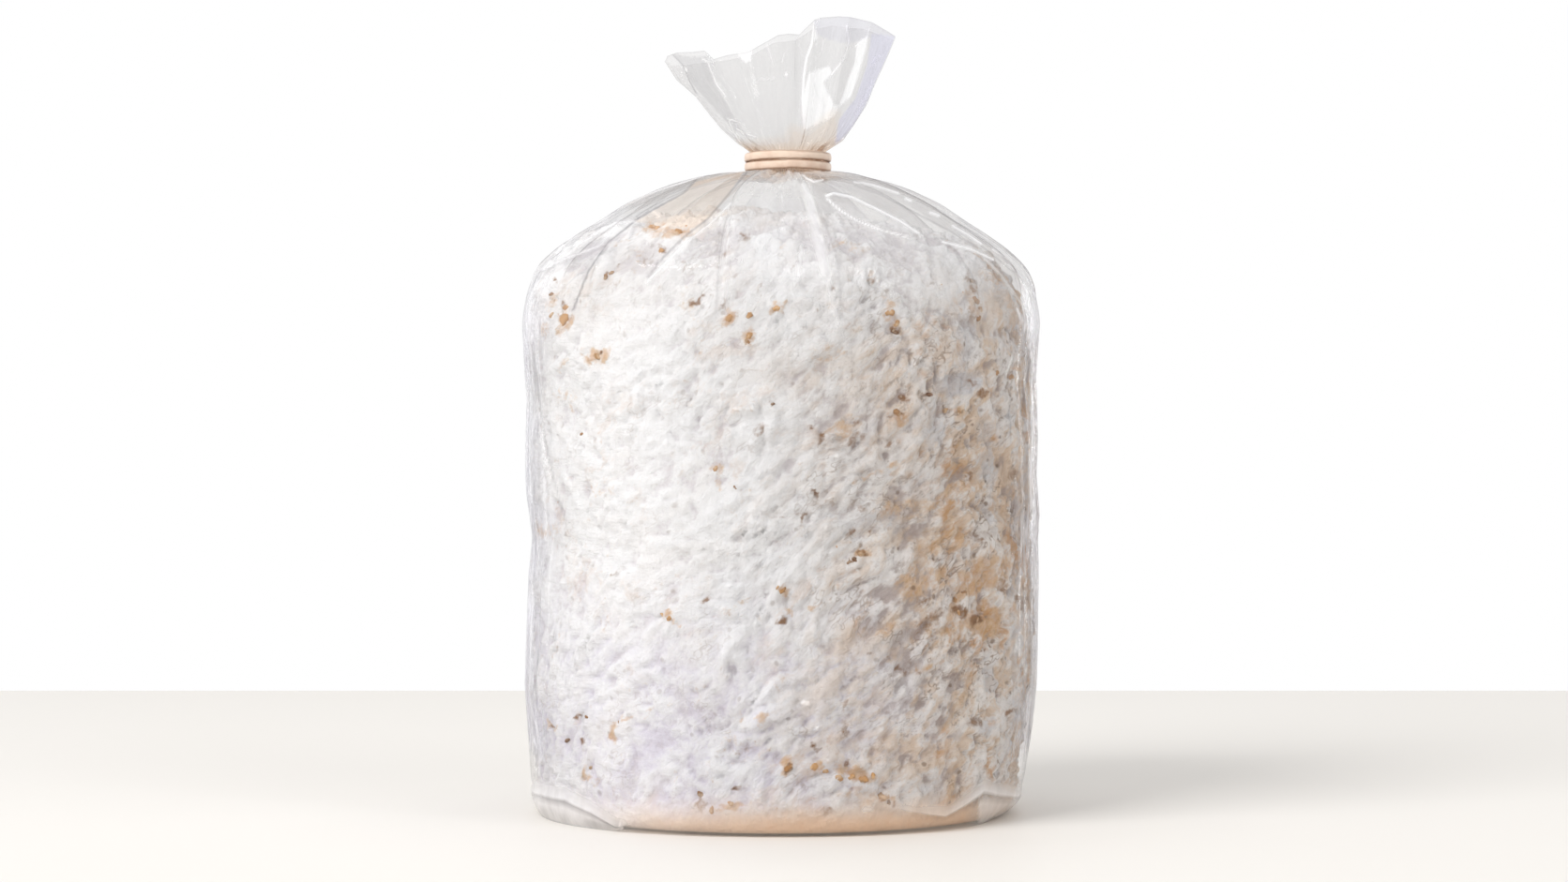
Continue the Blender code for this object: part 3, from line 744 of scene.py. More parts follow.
def merged(values, fixed, least):
    """Sorted azimuths with none closer than the least step, except where a fixed one stands."""
    values = np.sort(np.mod(values, 360))
    fixed = np.mod(np.array(fixed, float), 360)
    keep = [values[0]]
    for value in values[1:]:
        if value - keep[-1] > least:
            keep.append(value)
        elif np.min(np.abs(fixed - value)) < 1e-6:
            keep[-1] = value
    return np.array(keep)


crease_marks = np.array([crease[0] for crease in creases], float)
beside_crease = [mark + aside for mark in crease_marks for aside in (-1.0, -0.5, 0.0, 0.5, 1.0)]
film_u = merged([*np.arange(180, 360, 0.62), *np.arange(0, 180, 2.0), *beside_crease], crease_marks, 0.2)
film_angle = np.radians(film_u)


def bent_azimuth(radius):
    """Azimuth of each column at a given radius, so that columns follow the creases inwards."""
    near = [np.interp(radius, (13.0, 45.0, 77.0), crease[2::-1]) for crease in creases]
    ends = [crease_marks[-1] - 360, *crease_marks, crease_marks[0] + 360]
    return np.radians(np.interp(film_u, ends, [near[-1] - 360, *near, near[0] + 360]))


def body_point(azimuth, width, depth, squareness, height, shift=0.0):
    """A ring of the film: an ellipse, or a squarer round, at one height."""
    power = 2.0 / squareness
    c, s = np.cos(azimuth), np.sin(azimuth)
    x = width * np.sign(c) * np.abs(c) ** power + shift
    y = depth * np.sign(s) * np.abs(s) ** power
    return np.stack([x, y, np.broadcast_to(height, azimuth.shape)], axis=1)


def panel_sag(radius, height):
    """How far each column lies inside the round, on a flat panel between two creases."""
    index = (np.searchsorted(crease_marks, film_u, side="right") - 1) % len(creases)
    start = crease_marks[index]
    span = np.mod(crease_marks[(index + 1) % len(creases)] - start, 360)
    share = np.mod(film_u - start, 360) / span
    flat = np.array([crease[5] for crease in creases])[index]
    chord = radius * (1 - np.cos(np.radians(span / 2)) / np.cos(np.radians((share - 0.5) * span)))
    sunk = 1.5 * np.sin(math.pi * share) ** 2 * np.minimum(span / 22, 1.0)
    sunk = sunk * eased((74 - radius) / 30) * eased((radius - 14) / 16)
    return (chord + sunk) * flat * eased((height - 152) / 16) * eased((radius - 9) / 14)


def near_crease(height, radius, value, offset, half_width):
    """A value of each crease, on a narrow strip beside it."""
    total = np.zeros(film_u.shape)
    for crease in creases:
        away = np.abs(np.mod(film_u - crease[0] - offset + 180, 360) - 180)
        fade = eased((height - crease[3]) / 7) * eased((radius - 11) / 10)
        total += crease[value] * np.clip(1 - away / half_width, 0, 1) * fade
    return total


def neck_gathers(azimuth):
    """Fine gathers where the film is drawn together at the neck."""
    fine = 0.95 * (1 - np.cos(34 * azimuth + 1.7 * np.sin(3 * azimuth)))
    return fine + 0.55 * (1 - np.cos(19 * azimuth + 2.3 * np.sin(2 * azimuth + 1)))


def side_ring(height):
    """A ring of the film's side, where it clings to the block."""
    inset = np.where(np.cos(film_angle) < 0, read_off(left_inset, height), read_off(right_inset, height))
    depth = film_half_depth - read_off(front_inset, height)
    return body_point(film_angle, film_half_width - inset, depth, film_squareness, height)


def film_rings():
    """The film's rings from the middle of the bottom up to the tie, each with the push of its
    points and its radius."""
    ridge = read_off(ridge_height, film_u)
    lowest = side_ring(ridge)
    inset = read_off(foot_inset, film_u) / np.linalg.norm(lowest[:, :2], axis=1)
    contact = lowest * (1 - inset[:, None])
    rings = []
    for share in (0.15, 0.5, 0.85, 1.0):
        rings.append((contact * share * (1, 1, 0), 0.0, 80.0))
    for share in np.linspace(0, 1, 9)[1:]:
        ring = contact + (lowest - contact) * math.sin(share * math.pi / 2) ** 0.8
        ring[:, 2] = ridge * share
        rings.append((ring, 0.0, 80.0))
    for up in np.linspace(0, 1, side_rings)[1:-1]:
        height = ridge + (side_top - ridge) * up
        above = height - ridge
        wave = 0.30 * np.sin(3 * film_angle + height / 15) * np.sin(height / 21 + 2 * film_angle)
        edge = eased((np.abs(np.cos(film_angle)) - 0.80) / 0.17)
        tucks = film_u / 5.3 + 0.5 * np.sin(height / 31 + 1.3) + 0.16 * np.sin(height / 9.0)
        tucks = np.abs(np.mod(tucks, 1.0) - 0.5)
        tucks += 0.6 * np.abs(np.mod(film_u / 8.1 - 0.7 * np.sin(height / 45), 1.0) - 0.5)
        push = wave - 1.5 * edge * tucks * eased((height - 12) / 12) * eased((side_top - height) / 8)
        push = push - 0.9 * np.exp(-(above / 2.2) ** 2) * eased(above / 1.6)
        rings.append((side_ring(height), push, 80.0))
    for radius, height in softened(even_steps(shoulder, shoulder_rings), 13):
        out = radius / film_half_width
        azimuth = bent_azimuth(radius)
        ring = body_point(azimuth, radius, out * film_half_depth, 2.0 + (film_squareness - 2.0) * out,
                          height, neck_shift * (1 - out))
        fine = neck_gathers(azimuth) * math.exp(-(radius - 11) / 9)
        push = near_crease(height, radius, 4, 0, 0.8) - panel_sag(radius, height) - fine
        rings.append((ring, push, radius))
    azimuth = bent_azimuth(11.0)
    for radius, height in neck_outline:
        ring = body_point(azimuth, radius, radius, 2.0, height, neck_shift)
        rings.append((ring, -neck_gathers(azimuth), radius))
    points, pushes, radii = zip(*rings)
    pushes = [np.broadcast_to(push, film_u.shape) for push in pushes]
    return np.array(points), np.array(pushes), np.array(radii)


def surface_normals(points):
    """Which way the film faces at each of its points."""
    along = np.gradient(points, axis=0)
    around = np.roll(points, -1, axis=1) - np.roll(points, 1, axis=1)
    normal = np.cross(around, along)
    return normal / np.maximum(np.linalg.norm(normal, axis=2, keepdims=True), 1e-9)


def pushed(points, distance):
    """Points moved outwards from their surface."""
    return points + surface_normals(points) * distance[:, :, None]


def evened(values, ways):
    """Evens values out over the points beside them, three times."""
    for _ in range(3):
        beside = sum(np.roll(values, way, axis=(0, 1)) for way in ways)
        values = (values * 2 + beside) / (2 + len(ways))
    return values


def stroke(seen, path, width):
    """1 on a drawn line and 0 off it, for points in photograph pixels."""
    path = np.array(path, float)
    nearest = np.full(seen.shape[:-1], 1e9)
    for start, end in zip(path[:-1], path[1:]):
        run = end - start
        share = np.clip(((seen - start) @ run) / (run @ run), 0, 1)
        nearest = np.minimum(nearest, np.linalg.norm(seen - start - share[..., None] * run, axis=-1))
    return np.clip(1.5 - nearest / (width / 2), 0, 1)


def panel(seen, outline, soft):
    """1 inside a drawn outline and 0 outside it, with a soft edge."""
    inside = np.zeros(seen.shape[:-1], bool)
    path = np.array(outline + outline[:1], float)
    for (x0, y0), (x1, y1) in zip(path[:-1], path[1:]):
        crosses = (y0 > seen[..., 1]) != (y1 > seen[..., 1])
        rise = 1e-9 if y1 == y0 else y1 - y0
        inside ^= crosses & (seen[..., 0] < (x1 - x0) * (seen[..., 1] - y0) / rise + x0)
    return np.maximum(inside * 1.0, stroke(seen, path, soft) * 0.6)


def drawn_on(value, seen, strokes, where):
    """The larger of a value and the lines drawn on it."""
    for path, width, strength in strokes:
        value = np.maximum(value, stroke(seen, path, width) * strength * where)
    return value


def filled_on(value, seen, panels, soft, where):
    """The larger of a value and the panels filled in on it."""
    for outline, strength in panels:
        value = np.maximum(value, panel(seen, outline, soft) * strength * where)
    return value


def distance_to_block(points, directions, reach):
    """How far the block lies from each point along its direction, or no distance within reach."""
    found = np.full(points.shape[:2], np.inf)
    for at in np.ndindex(found.shape):
        start, direction = Vector(points[at] * MM), Vector(directions[at])
        _, _, _, distance = block_surface.ray_cast(start, direction, reach * MM)
        if distance is not None:
            found[at] = distance / MM
    return found


def clung(points, reach=9.0):
    """Pushes the film out over the block's lumps, bridging from lump to lump."""
    normals = surface_normals(points)
    push = distance_to_block(points - normals * reach, normals, 2 * reach) - reach + film_clearance
    push = np.where(np.isfinite(push) & (film_radius >= 16)[:, None], np.maximum(push, 0.0), 0.0)
    push[:4] = 0
    beside = ((0, 1), (0, -1), (1, 0), (-1, 0))
    wide = push
    for way in beside:
        wide = np.maximum(wide, np.roll(push, way, axis=(0, 1)))
    wide = evened(wide, beside)
    wide[:4] = 0
    return points + normals * np.maximum(wide, push)[:, :, None]


leaf = (
    (881, 208), (886, 207), (908, 210), (935, 223), (962, 237), (984, 252), (976, 254), (962, 252),
    (940, 246), (913, 235), (895, 224), (884, 215))
film_points, film_push, film_radius = film_rings()
film_points = pushed(film_points, film_push)
front = (film_u > 180) & (film_u < 360)
in_leaf = panel(seen_from_front(film_points), leaf, 1.0) * front * (film_points[:, :, 2] > 160)
film_points = pushed(film_points, 1.1 * evened(in_leaf, ((0, 1), (0, -1))))
film_points = clung(film_points)

film_values = ("free", "cloud", "line", "warm", "cool", "streaked", "tucked")
clear_film, tree, shader = new_material("clear film")
tree.nodes.remove(shader)
place = given_by("ShaderNodeTexCoord", output="UV")
free, cloud, line, warm, cool, streaked, tucked = [attribute(name) for name in film_values]
crumple = mottle(place, 170.0, 4.0, 0.6, (1.0, 0.6, 1.0))
streaks = mottle(place, 520.0, 3.0, 0.6, (1.0, 0.06, 1.0))
folded = mottle(place, 150.0, 2.0, 0.6, (1.0, 0.13, 1.0))
# Fine folds on the film's sides: a painted highlight along one edge of each, and a line of painted shade
# along the other.
fold_highlights = ramp(step("ABSOLUTE", folded - 0.50), 0.030, 0.008)
fold_shade = ramp(step("ABSOLUTE", folded - 0.545), 0.020, 0.004)
relief = given_by("ShaderNodeBump", {"Height": streaks * streaked * 0.6 + crumple, "Strength": 0.35,
                  "Distance": 0.0010})
facing = given_by("ShaderNodeLayerWeight", {"Blend": 0.30}, "Facing")
# The tint darkens at grazing angles, and painted shade darkens it along folds and creases.
tint = mixed(free, clear_tint, free_tint)
for share, tone in ((warm * 0.8, warm_tint), (cool * 0.6, cool_tint),
                    (ramp(facing, 0.58, 0.96, 0.0, 0.85), edge_tint),
                    (fold_shade * tucked * 0.5, fold_shade_tint), (line * 0.9, crease_shade_tint)):
    tint = mixed(share, tint, tone)
clear = given_by("ShaderNodeBsdfTransparent", {"Color": tint})
milky = mixed(cool * 0.7, mixed(warm * 0.8, milk_white, milk_warm), milk_cool)
haze = given_by("ShaderNodeBsdfDiffuse", {"Color": milky, "Normal": relief})
behind = given_by("ShaderNodeBsdfTranslucent", {"Color": milky})
haze = given_by("ShaderNodeMixShader", {0: 0.35, 1: haze, 2: behind})
milk = free * 0.08 + (cloud + 0.02)
milk = ramp(streaks, 0.50, 0.72) * streaked * 0.20 + milk
milk = fold_highlights * tucked * 0.55 + milk
milk = milk * ramp(crumple, 0.25, 0.75, 0.85, 1.15)
body = given_by("ShaderNodeMixShader", {0: milk, 1: clear, 2: haze})
gloss = given_by("ShaderNodeBsdfGlossy", {"Color": (1.0, 1.0, 1.0), "Roughness": 0.08, "Normal": relief})
fresnel = given_by("ShaderNodeFresnel", {"IOR": 1.49, "Normal": relief})
shine = step("MINIMUM", fresnel * 0.6, 0.45)
whole = given_by("ShaderNodeMixShader", {0: shine, 1: body, 2: gloss})
join(whole, tree.nodes["Material Output"].inputs["Surface"])


def film_sheet(name, points, columns, start_run, values, ends):
    """A sheet of film with its length and width as its UV map, in metres, and its values."""
    mesh = skin_mesh(name, points, ends)
    count = points.shape[0] * len(columns)
    steps = np.linalg.norm(np.diff(points, axis=0), axis=2).mean(axis=1)
    run = start_run + np.concatenate([[0], np.cumsum(steps)])
    vertex = np.zeros(len(mesh.loops), int)
    mesh.loops.foreach_get("vertex_index", vertex)
    flat = np.zeros((len(mesh.vertices), 2))
    flat[:count, 0] = np.tile(columns / 360 * 0.5, len(run))
    flat[:count, 1] = np.repeat(run * MM, len(columns))
    mesh.uv_layers.new(name="film").data.foreach_set("uv", flat[vertex].ravel())
    for label, value in zip(film_values, values):
        whole_value = np.zeros(len(mesh.vertices))
        whole_value[:count] = np.broadcast_to(value, points.shape[:2]).ravel()
        carry(mesh, label, whole_value)
    mesh.materials.append(clear_film)
    return mesh, run[-1]


# Lines on the front of the shoulder, in the photograph's pixels, each with its width and strength:
# clear-edged painted highlights where a crease turns, then dark lines of painted shade. The panels
# look cloudy or grey because the film lies double there.
shoulder_lines = (
    (((881, 209), (889, 206), (908, 210), (935, 223), (962, 237), (984, 252)), 2.8, 0.85),
    (((984, 252), (976, 254), (962, 252), (940, 246), (913, 235), (895, 224), (882, 212)), 2.6, 0.65),
    (((911, 194), (930, 197), (958, 206)), 2.8, 0.65), (((966, 212), (971, 214)), 3, 0.8),
    (((992, 227), (1001, 230)), 3.4, 0.9), (((1016, 241), (1032, 250), (1046, 260)), 2.8, 0.75),
    (((1005, 258), (1036, 266), (1059, 277)), 3, 0.8),
    (((1058, 266), (1082, 281), (1099, 297)), 2.6, 0.55),
    (((1049, 275), (1068, 294), (1090, 325), (1096, 350)), 2.6, 0.45),
    (((1075, 282), (1094, 300), (1104, 325)), 2.4, 0.45),
    (((852, 184), (860, 190), (868, 194), (877, 192)), 2.4, 0.75),
    (((861, 198), (871, 250), (885, 310), (894, 345)), 9, 0.26),
    (((777, 219), (776, 262), (774, 330)), 2, 0.35),
    (((690, 301), (706, 284), (731, 259), (757, 239), (779, 217)), 2.6, 0.45),
    (((856, 196), (866, 217), (875, 249), (882, 282), (888, 307), (897, 331)), 1.6, 0.4),
    (((855, 260), (851, 295), (843, 318)), 3.4, 0.2), (((832, 198), (835, 227), (833, 246)), 1.2, 0.22),
    (((605, 256), (614, 249)), 3, 0.85), (((593, 270), (600, 262)), 2.8, 0.8),
    (((579, 287), (587, 279)), 2.6, 0.75), (((655, 223), (690, 207), (720, 197), (750, 187)), 2.4, 0.5),
    (((697, 226), (703, 231)), 3.6, 0.7), (((577, 288), (600, 277), (640, 262), (658, 240)), 2.4, 0.45),
    (((632, 250), (655, 238), (678, 236)), 2.4, 0.45))
shoulder_darks = (
    (((742, 192), (729, 206), (705, 219), (679, 234), (648, 259), (627, 290), (611, 331)), 1.9, 0.75),
    (((796, 184), (773, 212), (754, 234), (729, 253), (704, 278), (692, 295)), 2.2, 0.55),
    (((858, 194), (868, 225), (877, 269), (886, 310), (897, 341)), 1.9, 0.35),
    (((778, 222), (777, 268), (775, 330)), 1.6, 0.3),
    (((630, 288), (616, 293), (604, 304), (594, 315), (586, 333)), 1, 0.28),
    (((678, 238), (674, 253), (664, 277)), 1, 0.28),
    (((1003, 254), (1020, 268), (1034, 290), (1041, 303)), 2, 0.4),
    (((1046, 262), (1072, 283), (1098, 305)), 1.8, 0.35),
    (((911, 198), (940, 208), (980, 229), (1010, 245), (1046, 266)), 2, 0.3),
    (((1058, 290), (1070, 308), (1083, 330), (1090, 352)), 1.2, 0.25))
grey_panels = (
    (((586, 284), (627, 259), (648, 252), (660, 254), (617, 279)), 0.275),
    (((622, 249), (656, 226), (700, 205), (742, 190), (729, 206), (679, 234), (650, 240)), 0.121),
    (leaf, 0.033))
pale_panel = (
    ((886, 214), (935, 226), (990, 256), (1056, 290), (1062, 340), (1000, 330), (930, 290), (890, 244)),
    0.15)
tan_panel = (
    ((742, 194), (791, 184), (776, 209), (757, 231), (739, 243), (704, 240), (679, 236), (729, 206)), 0.55)
# Lines down the film's two sides, dark where it turns away and white where it catches light.
side_lines = (
    (((1085, 330), (1097, 362), (1104, 399), (1105, 409)), 3, 0.75),
    (((1073, 399), (1081, 377)), 1.6, 0.6),
    (((1097, 425), (1102, 453), (1099, 478), (1099, 528), (1105, 567)), 2.2, 0.65),
    (((1091, 405), (1097, 425)), 1.8, 0.55), (((1102, 581), (1105, 620)), 2, 0.7),
    (((1093, 649), (1097, 663)), 2, 0.6), (((1083, 687), (1095, 718)), 2.6, 0.6),
    (((1091, 752), (1093, 770)), 2, 0.6), (((1086, 779), (1088, 790)), 1.8, 0.5),
    (((565, 360), (568, 400)), 1.6, 0.4), (((572, 420), (578, 470), (588, 512)), 1.8, 0.4),
    (((566, 610), (568, 650), (566, 690)), 1.8, 0.4), (((571, 770), (577, 800), (574, 826)), 1.8, 0.4))
side_darks = (
    (((568, 370), (583, 480), (593, 520), (604, 560)), 1.6, 0.35),
    (((587, 654), (594, 692), (601, 722), (607, 742)), 1.6, 0.3),
    (((598, 667), (611, 692), (615, 718), (617, 725)), 1.4, 0.25),
    (((568, 667), (574, 697), (571, 722), (573, 752)), 1.6, 0.35),
    (((600, 776), (611, 801), (621, 827), (628, 846)), 1.6, 0.28),
    (((568, 765), (574, 795), (570, 829)), 1.6, 0.3),
    (((563, 480), (570, 520), (567, 560), (575, 600)), 1.6, 0.35),
    (((1081, 377), (1076, 440), (1082, 520)), 1.2, 0.25),
    (((1088, 430), (1092, 520), (1088, 600)), 1.4, 0.3), (((1097, 300), (1101, 340)), 1.4, 0.35),
    (((1098, 670), (1101, 720), (1096, 800)), 1.6, 0.3))
# Painted highlights and painted shadow lines along the fold at the foot, and its cloudy panels.
foot_lines = (
    (((568, 843), (600, 851), (630, 865), (663, 883)), 3.6, 0.75),
    (((572, 838), (604, 845), (640, 862)), 6, 0.3), (((905, 866), (937, 862), (1001, 870)), 2.4, 0.4),
    (((1001, 870), (1020, 858), (1052, 845), (1085, 848)), 3.4, 0.6),
    (((1045, 850), (1043, 876)), 1.8, 0.4), (((590, 868), (603, 877), (650, 886)), 2.4, 0.45))
foot_panels = (
    (((568, 846), (600, 855), (630, 870), (663, 885), (648, 888), (604, 880), (583, 860)), 0.58),
    (((1044, 850), (1086, 849), (1060, 870), (1044, 881)), 0.6))
foot_darks = (
    (((570, 848), (600, 857), (632, 872), (660, 887)), 2, 0.35),
    (((937, 864), (970, 869), (1001, 872)), 2, 0.3), (((572, 849), (602, 859), (632, 876)), 1.6, 0.3),
    (((1003, 873), (1022, 862), (1052, 849), (1080, 851)), 1.8, 0.3),
    (((1048, 850), (1046, 876)), 1.4, 0.35), (((940, 865), (998, 873)), 1.6, 0.22))


def body_values(points):
    """What the material reads at each point of the film, in the order of its names."""
    seen = seen_from_front(points)
    up = points[:, :, 2]
    ring = np.arange(len(points))[:, None]
    radius = film_radius[:, None]
    normals = surface_normals(points)
    gap = np.minimum(distance_to_block(points, -normals, widest_gap), widest_gap)
    to_eye = np.array(eye) / MM - points
    facing = (normals * to_eye).sum(axis=2) / np.linalg.norm(to_eye, axis=2)
    on_front = front[None, :] & (up > shoulder_low)
    drawn = on_front * eased((facing - 0.04) / 0.16)
    beside = front * eased((facing + 0.03) / 0.17)
    right_side = eased((seen[:, :, 0] - crown_again) / 60) * front
    free = eased((gap - 2.5) / 6.0) * eased((up - shoulder_low) / 12) * (1 - 0.6 * right_side)
    lines, cloud = [np.array([near_crease(height.mean(), at, 6, offset, half_width)
                              for height, at in zip(up, film_radius)])
                    for offset, half_width in ((0, 0.42), (0.62, 0.45))]
    cloud = drawn_on(cloud * 0.35, seen, shoulder_lines, drawn)
    lines = drawn_on(lines, seen, shoulder_darks, drawn)
    lines = filled_on(lines, seen, grey_panels, 1.0, on_front)
    cloud = filled_on(cloud, seen, (pale_panel,), 3.0, drawn)
    for first, last, strength in flaps:
        in_flap = ((film_u > first) & (film_u < last))[None, :]
        cloud = cloud + strength * in_flap * eased((up - 148) / 10) * (radius < 78)
    warm = 0.9 * np.exp(-((radius - 11) / 7) ** 2) * (0.5 + 0.5 * np.cos(np.radians(film_u - 285)))
    warm = filled_on(warm, seen, (tan_panel,), 2.0, on_front)
    cloud = np.maximum(cloud, 0.42 * np.exp(-((radius - 11) / 9) ** 2))
    wander = 0.03 * np.sin(up / 11) + 0.02 * np.sin(up / 4.7 + 2) + 0.02 * np.sin(up / 2.3)
    edge = eased((np.abs(np.cos(film_angle))[None, :] + wander - 0.88) / 0.12) * eased((up - 14) / 10)
    cool = 0.36 * edge * eased((170 - up) / 20)
    cloud = cloud + 0.14 * edge * eased((160 - up) / 10)
    cloud = drawn_on(cloud, seen, side_lines, beside)
    lines = drawn_on(lines, seen, side_darks, beside)
    low = front * (up < foot_high)
    cloud = drawn_on(cloud, seen, foot_lines, low)
    cloud = filled_on(cloud, seen, foot_panels, 1.5, low)
    lines = drawn_on(lines, seen, foot_darks, low)
    # A painted warm glow of the floor on the turned-under foot, strongest nearest the floor.
    turned = (ring > 3) & (ring < 13)
    middle = eased((seen[:, :, 0] - warm_glow_columns[0]) / 60) * eased((warm_glow_columns[1] - seen[:, :, 0]) / 20)
    middle = 0.25 + 0.75 * middle
    warm = np.maximum(warm, turned * (0.10 + 0.65 * eased((8 - up) / 6)) * middle)
    folded = read_off(foot_fold, film_u)
    corner = eased((read_off(ridge_height, film_u) + 5 - up) / 5) * read_off(foot_cloud, film_u)
    cloud = np.maximum(cloud, np.maximum(turned * 0.16, corner))
    # A painted shadow line just under the foot's ridge, and a painted highlight on the ridge and just above
    # it.
    shadow = folded * (0.9 * (ring == 10) + 0.5 * (ring == 9))
    cloud = np.maximum(cloud * (1 - 0.8 * shadow), folded * (0.85 * (ring == 11) + 0.40 * (ring == 12)))
    lines = np.maximum(lines, 0.55 * shadow)
    return (np.maximum(free, 0.20 * edge), np.minimum(cloud, 0.8), np.minimum(lines, 1.0), warm, cool,
            0.15 + 0.6 * edge, edge)


body_mesh, film_run = film_sheet("film", film_points, film_u, 0.0, body_values(film_points), (True, False))
film = show("film", body_mesh)
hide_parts("film_bag")
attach(film, "root")

# The film's free end above the tie: the same film, spread from the neck into a flared mouth.
# Its left tip folds over in a lip, its front is smooth, and its right side stands in facets, lit by painted
# highlights.
# The rim's points are left or right of the axis, depth, and height as seen from the front.
rim_front = (
    (-36, -1, 231.4), (-35, -4, 233.2), (-32, -7.5, 234.2), (-27, -9.5, 234.4), (-23.5, -10.5, 234.8),
    (-20.6, -7, 232.2), (-16.5, -9, 233.4), (-10, -12.5, 234.4), (-4.5, -14.5, 237.6), (-1, -15, 239.6),
    (2, -14.5, 240), (5.5, -13, 239.8), (10.2, -15.5, 244.4), (12, -11.5, 245), (17.5, -12.5, 245.4),
    (20.8, -13.5, 245.2), (23, -10.5, 244.8), (27.8, -11, 243.6), (31.5, -7, 241.5), (35.3, -2, 239.2))
rim_back = (
    (35, 1.5, 238), (31, 7, 239.6), (25.5, 11.5, 241.6), (21.5, 8.5, 241.8), (16, 14, 242.6),
    (9.5, 16.5, 241.2), (4.5, 12, 238), (-2.5, 15.5, 237.2), (-9, 15, 233.4), (-13, 10.5, 232.6),
    (-18.5, 13.5, 231.6), (-25, 10.5, 231), (-29, 6.5, 230.4), (-34, 3.5, 230.2))
# Share of the way from the neck to the rim that the film has spread, by share of its rise.
spread_left = ((0, 0), (0.12, 0.184), (0.26, 0.344), (0.43, 0.492), (0.62, 0.646), (0.8, 0.865), (1, 1))
spread_right = ((0, 0), (0.12, 0.298), (0.26, 0.446), (0.43, 0.609), (0.62, 0.73), (0.8, 0.863), (1, 1))
mouth_rings_up = 62
rings_in_tie = (200.2, 201.4, 202.6)
rim_from = 0.985
# Lines and panels of the mouth, in the photograph's pixels, as on the shoulder: painted glints, facets lit by
# painted highlights, and dark lines.
mouth_glints = (
    (((869, 24), (866, 46), (860, 62), (857, 82), (856, 106), (858, 137)), 2.6, 0.95),
    (((752, 55), (758, 64), (760, 70)), 1.8, 0.84),
    (((755, 67), (760, 79), (764, 90), (773, 101)), 2.4, 0.56), (((749, 63), (756, 66)), 2.4, 0.7),
    (((731, 73), (732, 75)), 2.4, 0.84), (((817, 45), (824, 67)), 1.4, 0.42),
    (((836, 57), (834, 66)), 1.6, 0.42), (((838, 79), (839, 80)), 3, 0.95),
    (((803, 90), (812, 84), (825, 84)), 2, 0.308), (((776, 127), (789, 130)), 1.8, 0.63),
    (((785, 137), (796, 143), (806, 146)), 2.2, 0.49), (((777, 129), (783, 142), (793, 158)), 2, 0.49),
    (((903, 28), (905, 44), (901, 62), (887, 79)), 2.2, 0.77), (((911, 50), (925, 39)), 2, 0.7),
    (((927, 30), (925, 41)), 1.4, 0.7), (((933, 62), (931, 68)), 3.4, 0.84),
    (((936, 60), (939, 60)), 2.4, 0.7), (((930, 86), (925, 100), (919, 111), (914, 122)), 2.6, 0.84),
    (((855, 30), (850, 40), (857, 67)), 1.2, 0.21), (((878, 42), (876, 54), (872, 60)), 1.6, 0.49))
facet_highlights = (
    (((868, 25), (872, 40), (865, 46)), 0.42),
    (((863, 78), (884, 71), (887, 79), (878, 88), (889, 112), (894, 114), (889, 124), (859, 138),
     (856, 120), (856, 106)), 0.35),
    (((914, 46), (925, 39), (924, 50), (914, 84), (907, 103), (895, 113), (900, 100), (905, 84),
     (912, 67)), 0.294), (((786, 57), (802, 53), (800, 65), (795, 67)), 0.385))
mouth_darks = (
    (((716, 57), (728, 69), (735, 86), (742, 99)), 1.4, 0.675), (((752, 54), (759, 62)), 1.2, 0.525),
    (((742, 99), (757, 119), (775, 146), (790, 163)), 1.2, 0.27),
    (((887, 79), (878, 88), (884, 102)), 1.2, 0.3), (((868, 90), (873, 104), (880, 113)), 1.6, 0.24))
grey_lip = (
    ((718, 58), (736, 61), (753, 60), (757, 76), (765, 95), (779, 118), (791, 141), (783, 139),
     (765, 119), (748, 100), (737, 88), (728, 71)), 0.4)
lilac_edge = (
    ((930, 36), (955, 39), (941, 82), (925, 118), (906, 139), (891, 155), (895, 128), (913, 105),
     (925, 70)), 1.4)
far_wall = ((868, 22), (905, 17), (942, 27), (954, 38), (925, 40), (905, 46), (884, 42), (872, 36))
peach_foot = (
    ((846, 140), (862, 145), (890, 124), (893, 150), (887, 164), (800, 164), (806, 156), (840, 152)), 0.6)


def share_along(points):
    """The share of a line's length, seen from above, at which each of its points lies."""
    run = np.concatenate([[0], np.cumsum(np.linalg.norm(np.diff(np.array(points)[:, :2], axis=0), axis=1))])
    return run[:-1] / run[-1]


back_line = (rim_front[-1], *rim_back, rim_front[0])
rim_marks = np.concatenate([180 + 180 * share_along(rim_front), 180 * share_along(back_line)])
mouth_u = merged([*np.arange(180, 360, 0.5), *np.arange(0, 180, 0.9), *rim_marks], rim_marks, 0.2)


def mouth_rings():
    """The mouth's rings from the tie up to the rim."""
    corners = np.array([*rim_front, *rim_back])
    rim = np.stack([np.interp(mouth_u, rim_marks, column, period=360) for column in corners.T], axis=1)
    rim[:, 2] = eye.z / MM + (rim[:, 2] - eye.z / MM) * (1 - rim[:, 1] / (eye.y / MM))
    azimuth = np.radians(mouth_u)
    gathers = neck_gathers(azimuth)
    rings = [(body_point(azimuth, neck_radius, neck_radius, 2.0, height, neck_shift), -gathers)
             for height in rings_in_tie]
    neck = rings[-1][0]
    lean = eased((rim[:, 0] + 12) / 24)
    for up in np.linspace(0, 1, mouth_rings_up)[1:]:
        left, right = read_off(spread_left, up), read_off(spread_right, up)
        ring = neck + (rim - neck) * (left + (right - left) * lean)[:, None]
        ring[:, 2] = neck[:, 2] + (rim[:, 2] - neck[:, 2]) * up
        fine = 0.22 * np.sin(mouth_u / 2.1 + 3 * up) * np.sin(mouth_u / 5.7) * eased(up / 0.3)
        rings.append((ring, -gathers * math.exp(-up / 0.16) - fine))
    points, pushes = zip(*rings)
    return pushed(np.array(points), np.array(pushes))


